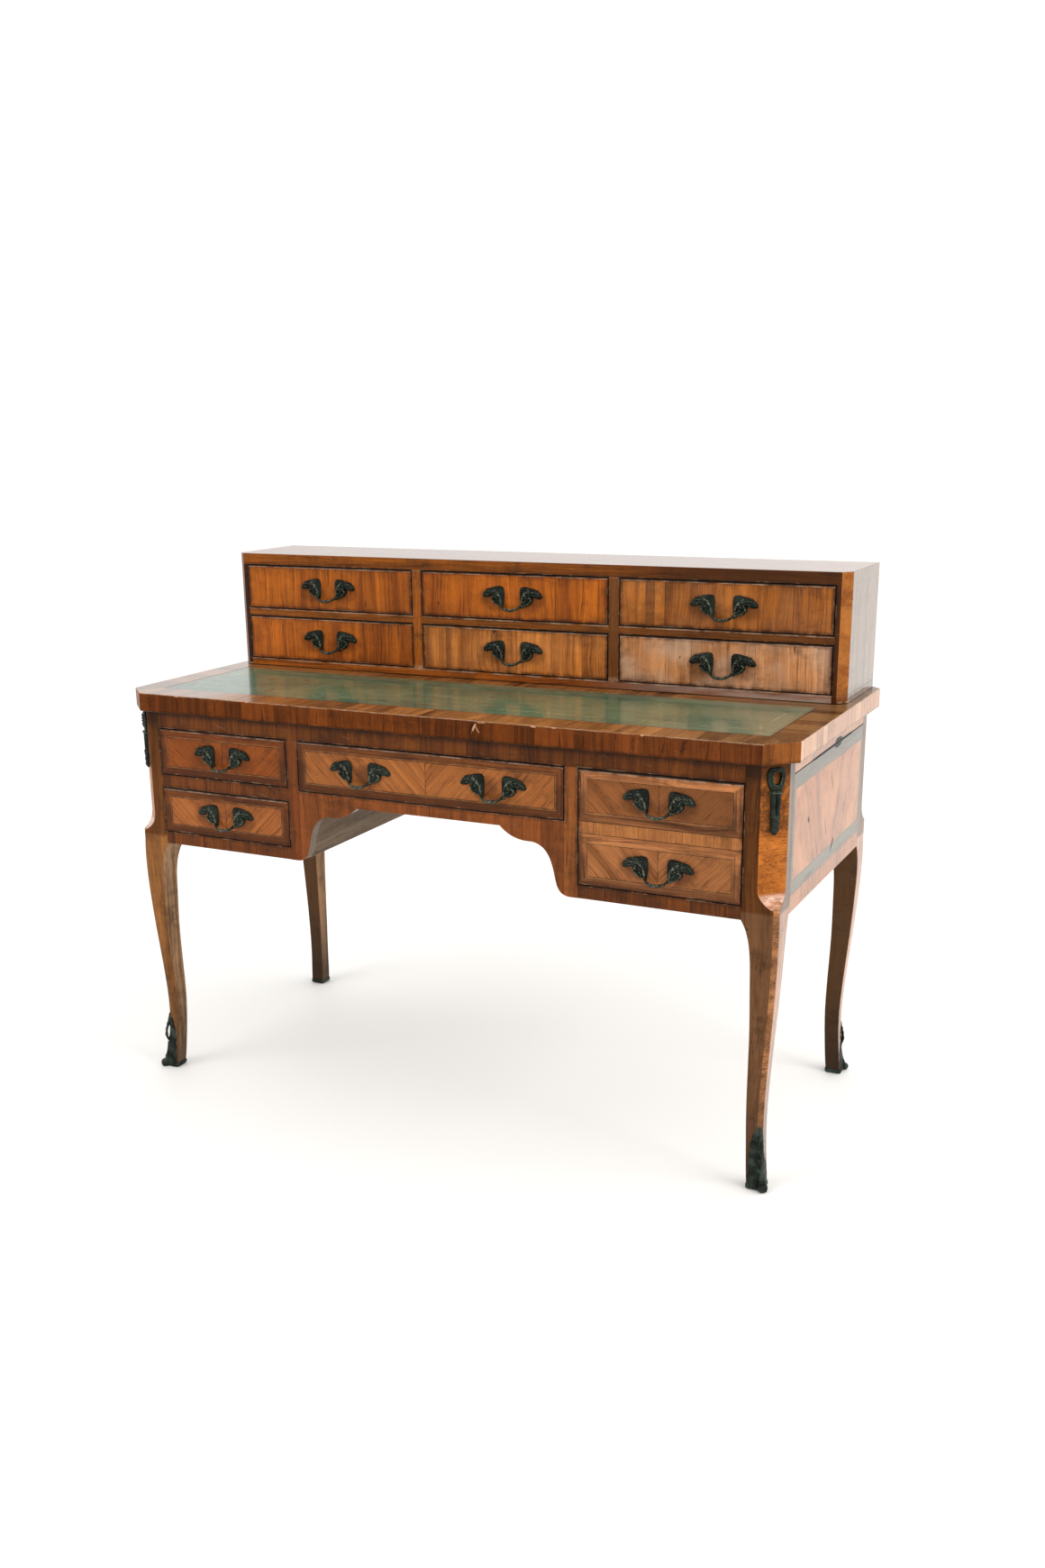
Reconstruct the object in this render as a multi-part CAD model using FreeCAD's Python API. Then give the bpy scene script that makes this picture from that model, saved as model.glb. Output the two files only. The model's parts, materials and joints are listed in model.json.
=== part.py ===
import FreeCAD, Part
import math
import os

# Bonheur du jour: a writing desk on cabriole legs, with a cabinet of small drawers
# on the back of its top. Millimetres. X to the right, Y to the back, Z up.
# The origin is on the floor, under the middle of the piece's whole plan.

V = FreeCAD.Vector
EPS = 1.0                    # how far a cutting tool runs past what it cuts
FLAT = 0.01                  # two heights nearer than this are the same

# ---------------------------------------------------------------- driving sizes
# desktop
SLAB_WIDTH = 1300.0
SLAB_DEPTH = 594.0
SLAB_TOP = 771.0             # writing height
SLAB_THICK = 34.0
SLAB_FRONT_CANT = 47.0
SLAB_BACK_CANT = 24.0
SLAB_ARRIS = 1.5             # rounded edge
# writing leather
LEATHER_SIDE = 55.0          # slab edge to leather
LEATHER_FRONT = 66.0
LEATHER_BACK = 40.0          # leather to cabinet
LEATHER_THICK = 1.6
LEATHER_FIT = 0.3            # gap round the leather
LEATHER_SUNK = 0.3
# carcass under the desktop
SIDE_OVERHANG = 16.0
FRONT_OVERHANG = 12.0
BACK_OVERHANG = 12.0
POST_SIZE = 61.4
POST_CANT = 36.0
LEG_ARRIS = 8.0              # narrow cant that runs down the leg
PEDESTAL_BOTTOM = 480.5      # height of the pedestals' underside
PANEL_THICK = 18.0
BACK_THICK = 14.0
TOP_RAIL_HEIGHT = 32.0
TOP_RAIL_THICK = 22.0
SIDE_STRIP_HEIGHT = 23.5
SIDE_JOINT = 1.2             # shadow joint under the side strip
RAIL_THICK = 20.0
MID_RAIL_HEIGHT = 25.0
MID_RAIL_DEPTH = 45.0
BOTTOM_RAIL_HEIGHT = 23.5
UPPER_DRAWER_HEIGHT = 89.0   # opening of the upper pedestal drawer
CENTRE_DRAWER_HEIGHT = 93.0  # opening of the wide drawer
BOTTOM_BOARD = 12.0
CEILING_BOARD = 12.0
KNEEHOLE_WIDTH = 526.6
STILE_WIDTH = 24.4
STILE_THICK = 25.0
INNER_SIDE_THICK = 16.0
# apron over the kneehole
APRON_HEIGHT = 20.5          # straight middle part
APRON_STRAIGHT = 285.0
APRON_LOBE = 22.0            # drop of the first lobe
LOBE_SHOULDER = 18.0         # where the lobe turns, outwards from the straight part
LOBE_SHOULDER_DROP = 13.6
LOBE_END = 60.0              # where the lobe meets the bracket below it
# bracket beside the kneehole: short of the kneehole's side, share of its drop
BRACKET_POINTS = ((34.0, 0.16), (19.0, 0.58), (8.0, 0.92))
BRACKET_FOOT = 8.5           # how far its foot runs onto the stile
# cabriole leg
ANKLE_WIDTH = 28.0
ANKLE_SETBACK = 17.0
SCOOP_RADIUS = 40.0          # hollow that ends the wide cant
SCOOP_FRONT = 55.0           # its start above the pedestal's underside, front posts
SCOOP_BACK = 75.0            # the same on the back posts
# how far each foot has crept from its true place, to the right and to the back
FOOT_CREEP = {
    "front_left": (-10.0, 3.0),
    "front_right": (-2.0, 4.0),
    "back_left": (-2.0, 9.0),
    "back_right": (-5.0, 9.0),
}
# sabot
SABOT_WALL = 2.0
SABOT_SOLE = 4.0
SABOT_TIP = 115.0            # top of the leaf on the leg's arris
SABOT_SIDE = 16.0            # top of the shoe where it ends on each outer face
TOE_SCROLL = 7.0
TOE_WIDTH = 15.0
TOE_REACH = 4.0              # scroll's middle in front of the foot's own corner
TOE_NECK = 48.0              # height at which the toe's hollow front leaves the leg
# drawers under the desktop
FRONT_GAP = 1.2
FRONT_THICK = 19.0
FRONT_ARRIS = 0.8            # rounded edge of a drawer front
BOX_SIDE = 10.0
BOX_BOTTOM = 7.0
BOX_PLAY = 1.6               # between box and opening, each side
RUN_GAP = 0.3                # between box and what it runs on
BOX_DROP = 9.0               # box top below the top of its opening
BOX_BACK_ROOM = 20.0
RUNNER_THICK = 18.0
RUNNER_REACH = 16.0
GUIDE_HEIGHT = 14.0
# cabinet on the desktop
CABINET_WIDTH = 1268.6
CABINET_DEPTH = 203.3
CABINET_BACK_MARGIN = 17.0   # slab's back edge to the cabinet's back
CABINET_CANT = 16.0
CABINET_TOP = 22.0
CABINET_BOTTOM = 15.0
CABINET_SIDE = 24.8
CABINET_BACK = 10.0
CABINET_ARRIS = 1.2
SHELF_THICK = 15.0
PARTITION = 21.0
PARTITION_SHIFT = -6.5       # both partitions stand this far to the left of thirds
SMALL_DRAWER_HEIGHT = 87.5
SMALL_FRONT_THICK = 15.0
SMALL_SIDE = 8.0
SMALL_BOTTOM = 5.0
SMALL_BACK_ROOM = 10.0
# cast pull
PULL_WIDTH = 128.0
PULL_HEIGHT = 46.0
PULL_PLATE = 6.0
PULL_GRIP = 33.0             # clear width between the two leaves
PULL_BOW = 2.6               # radius of the bow's rod
BOW_ROOT = 4.0               # how far the bow runs in behind each leaf
BOW_RISE = 12.0              # height of its roots over its lowest point
PULL_REACH = 17.0            # bow's middle in front of the drawer
PULL_LOW = 3.0               # pull's middle below the drawer's middle
PEG_RADIUS = 2.5
PEG_FIT = 0.3
PEG_SPACING = 62.0
PEG_RISE = 33.0              # height of the pegs over the pull's lowest point
NUT_RADIUS = 6.0
NUT_THICK = 4.0
# bronze pendant on the post
CHUTE_TOP = 6.0              # below the slab
CHUTE_RING_WIDTH = 32.0
CHUTE_RING_HEIGHT = 38.0
CHUTE_EYE_WIDTH = 14.0
CHUTE_EYE_HEIGHT = 21.0
CHUTE_EYE_TOP = 6.4          # below the ring's top
CHUTE_COLLAR_HEIGHT = 4.0
CHUTE_COLLAR_WIDTH = 25.0
CHUTE_SHAFT_TOP = 22.0
CHUTE_SHAFT_END = 15.0
CHUTE_LENGTH = 109.0
CHUTE_THICK = 8.0

# ---------------------------------------------------------------- places
HALF_W = SLAB_WIDTH / 2.0
SIDE_X = HALF_W - SIDE_OVERHANG                     # outer face of the posts
PULL_PROUD = PULL_REACH + PULL_BOW
PLAN_DEPTH = SLAB_DEPTH + max(0.0, PULL_PROUD - FRONT_OVERHANG)
SLAB_BACK_Y = PLAN_DEPTH / 2.0
SLAB_FRONT_Y = SLAB_BACK_Y - SLAB_DEPTH
FRONT_Y = SLAB_FRONT_Y + FRONT_OVERHANG
BACK_Y = SLAB_BACK_Y - BACK_OVERHANG
MID_Y = (FRONT_Y + BACK_Y) / 2.0
HALF_D = (BACK_Y - FRONT_Y) / 2.0
SLAB_BASE = SLAB_TOP - SLAB_THICK
POST_IN_X = SIDE_X - POST_SIZE
POST_FRONT_IN_Y = FRONT_Y + POST_SIZE
POST_BACK_IN_Y = BACK_Y - POST_SIZE
PANEL_IN_X = SIDE_X - PANEL_THICK
BACK_IN_Y = BACK_Y - BACK_THICK
KNEE_X = KNEEHOLE_WIDTH / 2.0
STILE_OUT_X = KNEE_X + STILE_WIDTH
INNER_OUT_X = KNEE_X + INNER_SIDE_THICK
OPEN_TOP = SLAB_BASE - TOP_RAIL_HEIGHT
UPPER_OPEN_BASE = OPEN_TOP - UPPER_DRAWER_HEIGHT
LOWER_OPEN_TOP = UPPER_OPEN_BASE - MID_RAIL_HEIGHT
LOWER_OPEN_BASE = PEDESTAL_BOTTOM + BOTTOM_RAIL_HEIGHT
CENTRE_OPEN_BASE = OPEN_TOP - CENTRE_DRAWER_HEIGHT
APRON_BASE = CENTRE_OPEN_BASE - APRON_HEIGHT
CAB_BACK_Y = SLAB_BACK_Y - CABINET_BACK_MARGIN
CAB_FRONT_Y = CAB_BACK_Y - CABINET_DEPTH
CAB_X = CABINET_WIDTH / 2.0
CAB_IN_X = CAB_X - CABINET_SIDE
CAB_FLOOR = SLAB_TOP + CABINET_BOTTOM
SHELF_BASE = CAB_FLOOR + SMALL_DRAWER_HEIGHT
SHELF_TOP = SHELF_BASE + SHELF_THICK
CAB_CEILING = SHELF_TOP + SMALL_DRAWER_HEIGHT
TOTAL_HEIGHT = CAB_CEILING + CABINET_TOP
CAB_BACK_IN_Y = CAB_BACK_Y - CABINET_BACK
COLUMN = (2.0 * CAB_IN_X - 2.0 * PARTITION) / 3.0
LEFT_PARTITION = -CAB_IN_X + COLUMN + PARTITION_SHIFT
RIGHT_PARTITION = CAB_IN_X - COLUMN - PARTITION + PARTITION_SHIFT
COLUMNS = {
    "left": (-CAB_IN_X, LEFT_PARTITION),
    "middle": (LEFT_PARTITION + PARTITION, RIGHT_PARTITION),
    "right": (RIGHT_PARTITION + PARTITION, CAB_IN_X),
}


# ---------------------------------------------------------------- helpers
def box(x0, x1, y0, y1, z0, z1):
    """A block between two corners."""
    return Part.makeBox(x1 - x0, y1 - y0, z1 - z0, V(x0, y0, z0))


def prism(points, z0, z1):
    """A plan outline raised from z0 to z1."""
    corners = [V(x, y, z0) for x, y in points]
    face = Part.Face(Part.makePolygon(corners + corners[:1]))
    return face.extrude(V(0, 0, z1 - z0))


def save(name, *shapes):
    """Write one node; several shapes stay separate solids."""
    solids = [solid for shape in shapes for solid in shape.Solids]
    shape = solids[0] if len(solids) == 1 else Part.makeCompound(solids)
    shape.exportStep("parts/" + name + ".step")


def pair(shape):
    """A shape and its mirror image across the middle of the desk."""
    return [shape, shape.mirror(V(0, 0, 0), V(1, 0, 0))]


# ---------------------------------------------------------------- desktop
def slab_outline():
    front, back = SLAB_FRONT_CANT, SLAB_BACK_CANT
    right = [
        (HALF_W - front, SLAB_FRONT_Y),
        (HALF_W, SLAB_FRONT_Y + front),
        (HALF_W, SLAB_BACK_Y - back),
        (HALF_W - back, SLAB_BACK_Y),
    ]
    return right + [(-x, y) for x, y in reversed(right)]


def leather_box(grow, z0, z1):
    """The leather's rectangle, let out by grow on every side."""
    x = HALF_W - LEATHER_SIDE + grow
    y0 = SLAB_FRONT_Y + LEATHER_FRONT - grow
    y1 = CAB_FRONT_Y - LEATHER_BACK + grow
    return box(-x, x, y0, y1, z0, z1)


def make_desktop():
    slab = prism(slab_outline(), SLAB_BASE, SLAB_TOP)
    slab = slab.makeFillet(SLAB_ARRIS, [e for e in slab.Edges if level_edge(e)])
    floor = SLAB_TOP - LEATHER_SUNK - LEATHER_THICK
    save("desktop", slab.cut(leather_box(LEATHER_FIT, floor, SLAB_TOP + EPS)))
    save("writing_leather", leather_box(0.0, floor, floor + LEATHER_THICK))


def level_edge(edge):
    """True for an edge that lies flat."""
    ends = [v.Point for v in edge.Vertexes]
    return abs(ends[0].z - ends[-1].z) < FLAT


# ---------------------------------------------------------------- legs
# Stations of the leg from the pedestal down to the floor: share of the leg's height,
# share of the taper from post to ankle, and share of the ankle's setback.
LEG_STATIONS = (
    (1.00, 1.00, 0.00),
    (0.94, 0.66, -0.04),
    (0.79, 0.42, 0.08),
    (0.625, 0.25, 0.37),
    (0.44, 0.11, 0.76),
    (0.27, 0.02, 1.00),
    (0.125, 0.00, 0.88),
    (0.00, 0.00, 0.62),
)


def corner_section(sx, sy, z, setback, width, creep):
    """Square section at one corner of the desk, its outer arris cut to a narrow cant."""
    near = setback
    far = setback + width
    plan = [
        (near + LEG_ARRIS, near),
        (far, near),
        (far, far),
        (near, far),
        (near, near + LEG_ARRIS),
    ]
    shift = foot_shift(creep, z)
    points = []
    for p, q in plan:
        points.append(V(sx * (SIDE_X - p), MID_Y + sy * (HALF_D - q), z) + shift)
    return Part.makePolygon(points + points[:1])


def foot_shift(creep, z):
    """The creep of a foot, in full on the floor and none at the pedestal."""
    share = 1.0 - z / PEDESTAL_BOTTOM
    return V(creep[0] * share, creep[1] * share, 0)


def leg_loft(sx, sy, grow, creep):
    """The curved leg, let out by grow all round."""
    wires = []
    for height, taper, back in LEG_STATIONS:
        width = ANKLE_WIDTH + taper * (POST_SIZE - ANKLE_WIDTH)
        setback = back * ANKLE_SETBACK
        z = height * PEDESTAL_BOTTOM
        wires.append(corner_section(sx, sy, z, setback - grow, width + 2 * grow, creep))
    return Part.makeLoft(list(reversed(wires)), True, False)


def diagonal_point(sx, sy, s, z):
    """A point in the upright plane through a corner's diagonal, s inwards from the corner."""
    p = s / math.sqrt(2.0)
    return V(sx * (SIDE_X - p), MID_Y + sy * (HALF_D - p), z)


def across_corner(wire, sx, sy, width):
    """A wire in that plane made into a block, half of its width on each side."""
    across = V(-sx, sy, 0).normalize() * width
    face = Part.Face(wire)
    face.translate(across * -0.5)
    return face.extrude(across)


def scoop_tool(sx, sy):
    """Cuts the post's wide cant and the hollow that ends it.

    Its profile lies in the upright plane through the corner's diagonal: s runs inwards
    from the outer corner, so a cant of c each way is at s = c / sqrt(2)."""
    s_cant = POST_CANT / math.sqrt(2.0)
    z_start = PEDESTAL_BOTTOM + (SCOOP_FRONT if sy < 0 else SCOOP_BACK)
    radius = SCOOP_RADIUS
    sweep = math.acos(1.0 - (s_cant + EPS) / radius)
    s_mid = s_cant - radius * (1.0 - math.cos(sweep / 2.0))
    z_mid = z_start - radius * math.sin(sweep / 2.0)
    z_end = z_start - radius * math.sin(sweep)
    outer = -POST_SIZE

    def at(s, z):
        return diagonal_point(sx, sy, s, z)

    top = SLAB_BASE + EPS
    arc = Part.Arc(at(s_cant, z_start), at(s_mid, z_mid), at(-EPS, z_end)).toShape()
    edges = [
        Part.makeLine(at(s_cant, top), at(s_cant, z_start)),
        arc,
        Part.makeLine(at(-EPS, z_end), at(outer, z_end)),
        Part.makeLine(at(outer, z_end), at(outer, top)),
        Part.makeLine(at(outer, top), at(s_cant, top)),
    ]
    return across_corner(Part.Wire(edges), sx, sy, 4.0 * POST_SIZE)


def below_sole():
    """All that lies lower than the top of the sabots' soles."""
    return box(-HALF_W, HALF_W, -HALF_W, HALF_W, -EPS, SABOT_SOLE)


def make_leg(name, sx, sy, creep):
    post_foot = corner_section(sx, sy, PEDESTAL_BOTTOM, 0.0, POST_SIZE, creep)
    post = Part.Face(post_foot).extrude(V(0, 0, SLAB_BASE - PEDESTAL_BOTTOM))
    leg = post.fuse(leg_loft(sx, sy, 0.0, creep)).removeSplitter()
    save("leg_" + name, leg.cut(scoop_tool(sx, sy)).cut(below_sole()))


def make_sabot(sx, sy, creep):
    """Cast shoe: a sole under the foot, a thin leaf that rises on its outer corner to a
    tip on the arris, and a hollow front that ends in a scroll for a toe."""
    near = ANKLE_SETBACK * LEG_STATIONS[-1][2]
    arris_s = (2.0 * near + LEG_ARRIS) / math.sqrt(2.0)
    tip_s = (2.0 * ANKLE_SETBACK + LEG_ARRIS) / math.sqrt(2.0)
    side_s = (2.0 * near + ANKLE_WIDTH) / math.sqrt(2.0)
    toe_s = near * math.sqrt(2.0) - TOE_REACH
    far = 2.0 * POST_SIZE
    above = PEDESTAL_BOTTOM + EPS

    def at(s, z):
        return diagonal_point(sx, sy, s, z)

    profile = [(-far, SABOT_TIP), (tip_s, SABOT_TIP), (side_s, SABOT_SIDE), (side_s, SABOT_SOLE)]
    profile += [(far, SABOT_SOLE), (far, above), (-far, above)]
    corners = [at(s, z) for s, z in profile]
    waste = across_corner(Part.makePolygon(corners + corners[:1]), sx, sy, 2.0 * far)
    scroll_top = 2.0 * TOE_SCROLL
    hollow = Part.Arc(at(arris_s, TOE_NECK), at(arris_s - SABOT_WALL, TOE_NECK / 2.0), at(toe_s, scroll_top))
    front = Part.Wire([
        hollow.toShape(),
        Part.makeLine(at(toe_s, scroll_top), at(toe_s, 0.0)),
        Part.makeLine(at(toe_s, 0.0), at(side_s, 0.0)),
        Part.makeLine(at(side_s, 0.0), at(arris_s, TOE_NECK)),
    ])
    along = V(-sx, sy, 0).normalize()
    start = at(toe_s, TOE_SCROLL) - along * (TOE_WIDTH / 2.0)
    scroll = Part.makeCylinder(TOE_SCROLL, TOE_WIDTH, start, along)
    toe = scroll.fuse(across_corner(front, sx, sy, TOE_WIDTH))
    crept = foot_shift(creep, 0.0)
    waste.translate(crept)
    toe.translate(crept)
    shell = leg_loft(sx, sy, SABOT_WALL, creep).cut(waste).fuse(toe).removeSplitter()
    return shell.cut(leg_loft(sx, sy, 0.0, creep).cut(below_sole()))


def make_legs():
    corners = {"front_left": (-1, -1), "front_right": (1, -1), "back_left": (-1, 1), "back_right": (1, 1)}
    sabots = []
    for name, (sx, sy) in corners.items():
        make_leg(name, sx, sy, FOOT_CREEP[name])
        sabots.append(make_sabot(sx, sy, FOOT_CREEP[name]))
    save("sabots", *sabots)


# ---------------------------------------------------------------- pedestals
def make_sides():
    strip_base = SLAB_BASE - SIDE_STRIP_HEIGHT
    panel_top = strip_base - SIDE_JOINT
    panel = box(PANEL_IN_X, SIDE_X, POST_FRONT_IN_Y, POST_BACK_IN_Y, PEDESTAL_BOTTOM, panel_top)
    right, left = pair(panel)
    save("side_panel_right", right)
    save("side_panel_left", left)
    strip = box(PANEL_IN_X, SIDE_X, POST_FRONT_IN_Y, POST_BACK_IN_Y, strip_base, SLAB_BASE)
    save("side_top_rails", *pair(strip))


def make_back():
    middle = box(-INNER_OUT_X, INNER_OUT_X, BACK_IN_Y, BACK_Y, CENTRE_OPEN_BASE - CEILING_BOARD, SLAB_BASE)
    wing = box(INNER_OUT_X, POST_IN_X, BACK_IN_Y, BACK_Y, PEDESTAL_BOTTOM, SLAB_BASE)
    save("back_panels", middle, *pair(wing))


def kneehole_tool():
    """The kneehole's outline under the drawer, as a block through the front."""
    half = APRON_STRAIGHT / 2.0
    lobe_z = APRON_BASE - APRON_LOBE
    foot_x = KNEE_X + BRACKET_FOOT
    drop = lobe_z - PEDESTAL_BOTTOM
    lobe = [
        V(half, 0, APRON_BASE),
        V(half + LOBE_SHOULDER, 0, APRON_BASE - LOBE_SHOULDER_DROP),
        V(half + LOBE_END, 0, lobe_z),
    ]
    bracket = [V(KNEE_X - short, 0, lobe_z - share * drop) for short, share in BRACKET_POINTS]
    first = Part.BSplineCurve()
    first.interpolate(lobe)
    second = Part.BSplineCurve()
    second.interpolate(lobe[-1:] + bracket + [V(foot_x, 0, PEDESTAL_BOTTOM)])
    under = PEDESTAL_BOTTOM - EPS
    edges = [first.toShape(), second.toShape()]
    left = [edge.mirror(V(0, 0, 0), V(1, 0, 0)) for edge in edges]
    foot = V(foot_x, 0, PEDESTAL_BOTTOM)
    low = V(foot_x, 0, under)
    low_left = V(-foot_x, 0, under)
    foot_left = V(-foot_x, 0, PEDESTAL_BOTTOM)
    top_left = V(-half, 0, APRON_BASE)
    edges += [Part.makeLine(foot, low), Part.makeLine(low, low_left), Part.makeLine(low_left, foot_left)]
    edges += left + [Part.makeLine(top_left, lobe[0])]
    wire = Part.Wire(Part.__sortEdges__(edges))
    face = Part.Face(wire)
    face.translate(V(0, FRONT_Y - EPS, 0))
    return face.extrude(V(0, STILE_THICK + 2.0 * EPS, 0))


def make_front_frame():
    knee = kneehole_tool()
    rail = box(-POST_IN_X, POST_IN_X, FRONT_Y, FRONT_Y + TOP_RAIL_THICK, OPEN_TOP, SLAB_BASE)
    save("front_top_rail", rail)
    stile = box(KNEE_X, STILE_OUT_X, FRONT_Y, FRONT_Y + STILE_THICK, PEDESTAL_BOTTOM, OPEN_TOP)
    save("front_stiles", *pair(stile.cut(knee)))
    apron = box(-KNEE_X, KNEE_X, FRONT_Y, FRONT_Y + RAIL_THICK, PEDESTAL_BOTTOM, CENTRE_OPEN_BASE)
    save("apron", apron.cut(knee))
    depth = FRONT_Y + MID_RAIL_DEPTH
    notch = box(-INNER_OUT_X, -KNEE_X + EPS, FRONT_Y + STILE_THICK, depth + EPS, 0.0, SLAB_BASE)
    mid = box(-POST_IN_X, -STILE_OUT_X, FRONT_Y, depth, LOWER_OPEN_TOP, UPPER_OPEN_BASE)
    save("mid_rail_left", mid.cut(notch))
    low = box(STILE_OUT_X, POST_IN_X, FRONT_Y, FRONT_Y + RAIL_THICK, PEDESTAL_BOTTOM, LOWER_OPEN_BASE)
    save("bottom_rails", *pair(low))


def make_pedestals():
    inner = box(KNEE_X, INNER_OUT_X, FRONT_Y + STILE_THICK, BACK_IN_Y, PEDESTAL_BOTTOM, SLAB_BASE)
    right, left = pair(inner)
    save("inner_side_right", right)
    save("inner_side_left", left)
    base = LOWER_OPEN_BASE - BOTTOM_BOARD
    board = box(INNER_OUT_X, PANEL_IN_X, FRONT_Y + STILE_THICK, BACK_IN_Y, base, LOWER_OPEN_BASE)
    posts = [
        box(POST_IN_X, SIDE_X, FRONT_Y, POST_FRONT_IN_Y, base - EPS, SLAB_BASE),
        box(POST_IN_X, SIDE_X, POST_BACK_IN_Y, BACK_Y, base - EPS, SLAB_BASE),
    ]
    lip = box(STILE_OUT_X, POST_IN_X, FRONT_Y + RAIL_THICK, FRONT_Y + STILE_THICK, base, LOWER_OPEN_BASE)
    board = board.fuse(lip).removeSplitter().cut(Part.makeCompound(posts))
    save("pedestal_bottoms", *pair(board))
    ceiling_base = CENTRE_OPEN_BASE - CEILING_BOARD
    ceiling = box(-KNEE_X, KNEE_X, FRONT_Y + RAIL_THICK, BACK_IN_Y, ceiling_base, CENTRE_OPEN_BASE)
    save("kneehole_ceiling", ceiling)


def make_runners():
    """Runners of the upper left drawer, and the strips that guide both left drawers
    and the right one beside the posts."""
    top = UPPER_OPEN_BASE
    base = top - RUNNER_THICK
    y0 = FRONT_Y + MID_RAIL_DEPTH
    outer = box(-PANEL_IN_X, -POST_IN_X + RUNNER_REACH, y0, BACK_IN_Y, base, top)
    posts = [
        box(-SIDE_X, -POST_IN_X, FRONT_Y, POST_FRONT_IN_Y, base - EPS, top + EPS),
        box(-SIDE_X, -POST_IN_X, POST_BACK_IN_Y, BACK_Y, base - EPS, top + EPS),
    ]
    outer = outer.cut(Part.makeCompound(posts))
    inner = box(-STILE_OUT_X - RUNNER_REACH, -INNER_OUT_X, y0, BACK_IN_Y, base, top)
    save("drawer_runners", outer, inner)
    guides = []
    places = ((-1, UPPER_OPEN_BASE), (-1, LOWER_OPEN_BASE), (1, LOWER_OPEN_BASE))
    for side, z in places:
        near, far = sorted((side * POST_IN_X, side * PANEL_IN_X))
        guides.append(box(near, far, POST_FRONT_IN_Y, POST_BACK_IN_Y, z, z + GUIDE_HEIGHT))
    save("drawer_guides", *guides)


# ---------------------------------------------------------------- cabinet
def cabinet_plan(x0, x1, y1, cant_left, cant_right):
    """Plan of a cabinet board, its front corners canted where asked."""
    front = CAB_FRONT_Y
    cant = CABINET_CANT
    points = [(x0 + cant, front)] if cant_left else [(x0, front)]
    points += [(x1 - cant, front), (x1, front + cant)] if cant_right else [(x1, front)]
    points += [(x1, y1), (x0, y1)]
    points += [(x0, front + cant)] if cant_left else []
    return points


def make_cabinet():
    whole = cabinet_plan(-CAB_X, CAB_X, CAB_BACK_Y, True, True)
    save("cabinet_bottom", prism(whole, SLAB_TOP, CAB_FLOOR))
    top = prism(whole, CAB_CEILING, TOTAL_HEIGHT)
    rim = [e for e in top.Edges if level_edge(e) and e.Vertexes[0].Z > TOTAL_HEIGHT - EPS]
    save("cabinet_top", top.makeFillet(CABINET_ARRIS, rim))
    side = cabinet_plan(CAB_IN_X, CAB_X, CAB_BACK_Y, False, True)
    right, left = pair(prism(side, CAB_FLOOR, CAB_CEILING))
    save("cabinet_side_right", right)
    save("cabinet_side_left", left)
    save("cabinet_back", box(-CAB_IN_X, CAB_IN_X, CAB_BACK_IN_Y, CAB_BACK_Y, CAB_FLOOR, CAB_CEILING))
    partitions = []
    for x in (LEFT_PARTITION, RIGHT_PARTITION):
        partitions.append(box(x, x + PARTITION, CAB_FRONT_Y, CAB_BACK_IN_Y, CAB_FLOOR, CAB_CEILING))
    save("cabinet_partitions", *partitions)
    shelves = []
    for x0, x1 in COLUMNS.values():
        shelves.append(box(x0, x1, CAB_FRONT_Y, CAB_BACK_IN_Y, SHELF_BASE, SHELF_TOP))
    save("cabinet_shelves", *shelves)


# ---------------------------------------------------------------- pulls
# Right-hand leaf in its front view, as stretches from corner to corner: share of the
# leaf's width from its inner edge, share of the pull's height from its lowest point.
LEAF_TOP = ((0.00, 0.78), (0.05, 0.95), (0.22, 1.00), (0.53, 0.94), (0.80, 0.85), (1.00, 0.60))
LEAF_TIP = ((1.00, 0.60), (0.89, 0.53), (0.72, 0.54), (0.57, 0.60))
LEAF_LOBE = ((0.57, 0.60), (0.56, 0.42), (0.43, 0.27), (0.23, 0.19), (0.05, 0.12))
LEAF_INNER = ((0.05, 0.12), (0.01, 0.45), (0.00, 0.78))


def leaf_edge(stretch):
    """One stretch of the leaf's outline as a smooth curve."""
    width = (PULL_WIDTH - PULL_GRIP) / 2.0
    curve = Part.BSplineCurve()
    curve.interpolate([V(PULL_GRIP / 2.0 + u * width, 0, w * PULL_HEIGHT) for u, w in stretch])
    return curve.toShape()


def make_pull(x, z, face_y, back_y):
    """One cast pull on a drawer front, with its pegs and the nuts inside the drawer."""
    edges = [leaf_edge(stretch) for stretch in (LEAF_TOP, LEAF_TIP, LEAF_LOBE, LEAF_INNER)]
    leaf = Part.Face(Part.Wire(edges)).extrude(V(0, -PULL_PLATE, 0))
    root = PULL_GRIP / 2.0 + BOW_ROOT
    root_y = -PULL_PLATE / 2.0
    start = V(-root, root_y, BOW_RISE)
    middle = V(0, -PULL_REACH, PULL_BOW)
    bow = Part.Arc(start, middle, V(root, root_y, BOW_RISE))
    path = Part.Wire([bow.toShape()])
    tangent = bow.tangent(bow.FirstParameter)[0]
    ring = Part.Wire([Part.makeCircle(PULL_BOW, start, tangent)])
    rod = path.makePipeShell([ring], True, False)
    cast = rod.fuse(pair(leaf))
    nuts = []
    through = back_y - face_y
    for side in (-1, 1):
        peg_x = side * PEG_SPACING / 2.0
        foot = V(peg_x, -PULL_PLATE, PEG_RISE)
        peg = Part.makeCylinder(PEG_RADIUS, PULL_PLATE + through + NUT_THICK, foot, V(0, 1, 0))
        cast = cast.fuse(peg)
        nut = Part.makeCylinder(NUT_RADIUS, NUT_THICK, V(peg_x, through, PEG_RISE), V(0, 1, 0))
        nuts.append(nut.cut(peg))
    shapes = [cast.removeSplitter()] + nuts
    for shape in shapes:
        shape.translate(V(x, face_y, z - PULL_HEIGHT / 2.0 - PULL_LOW))
    return shapes


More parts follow.
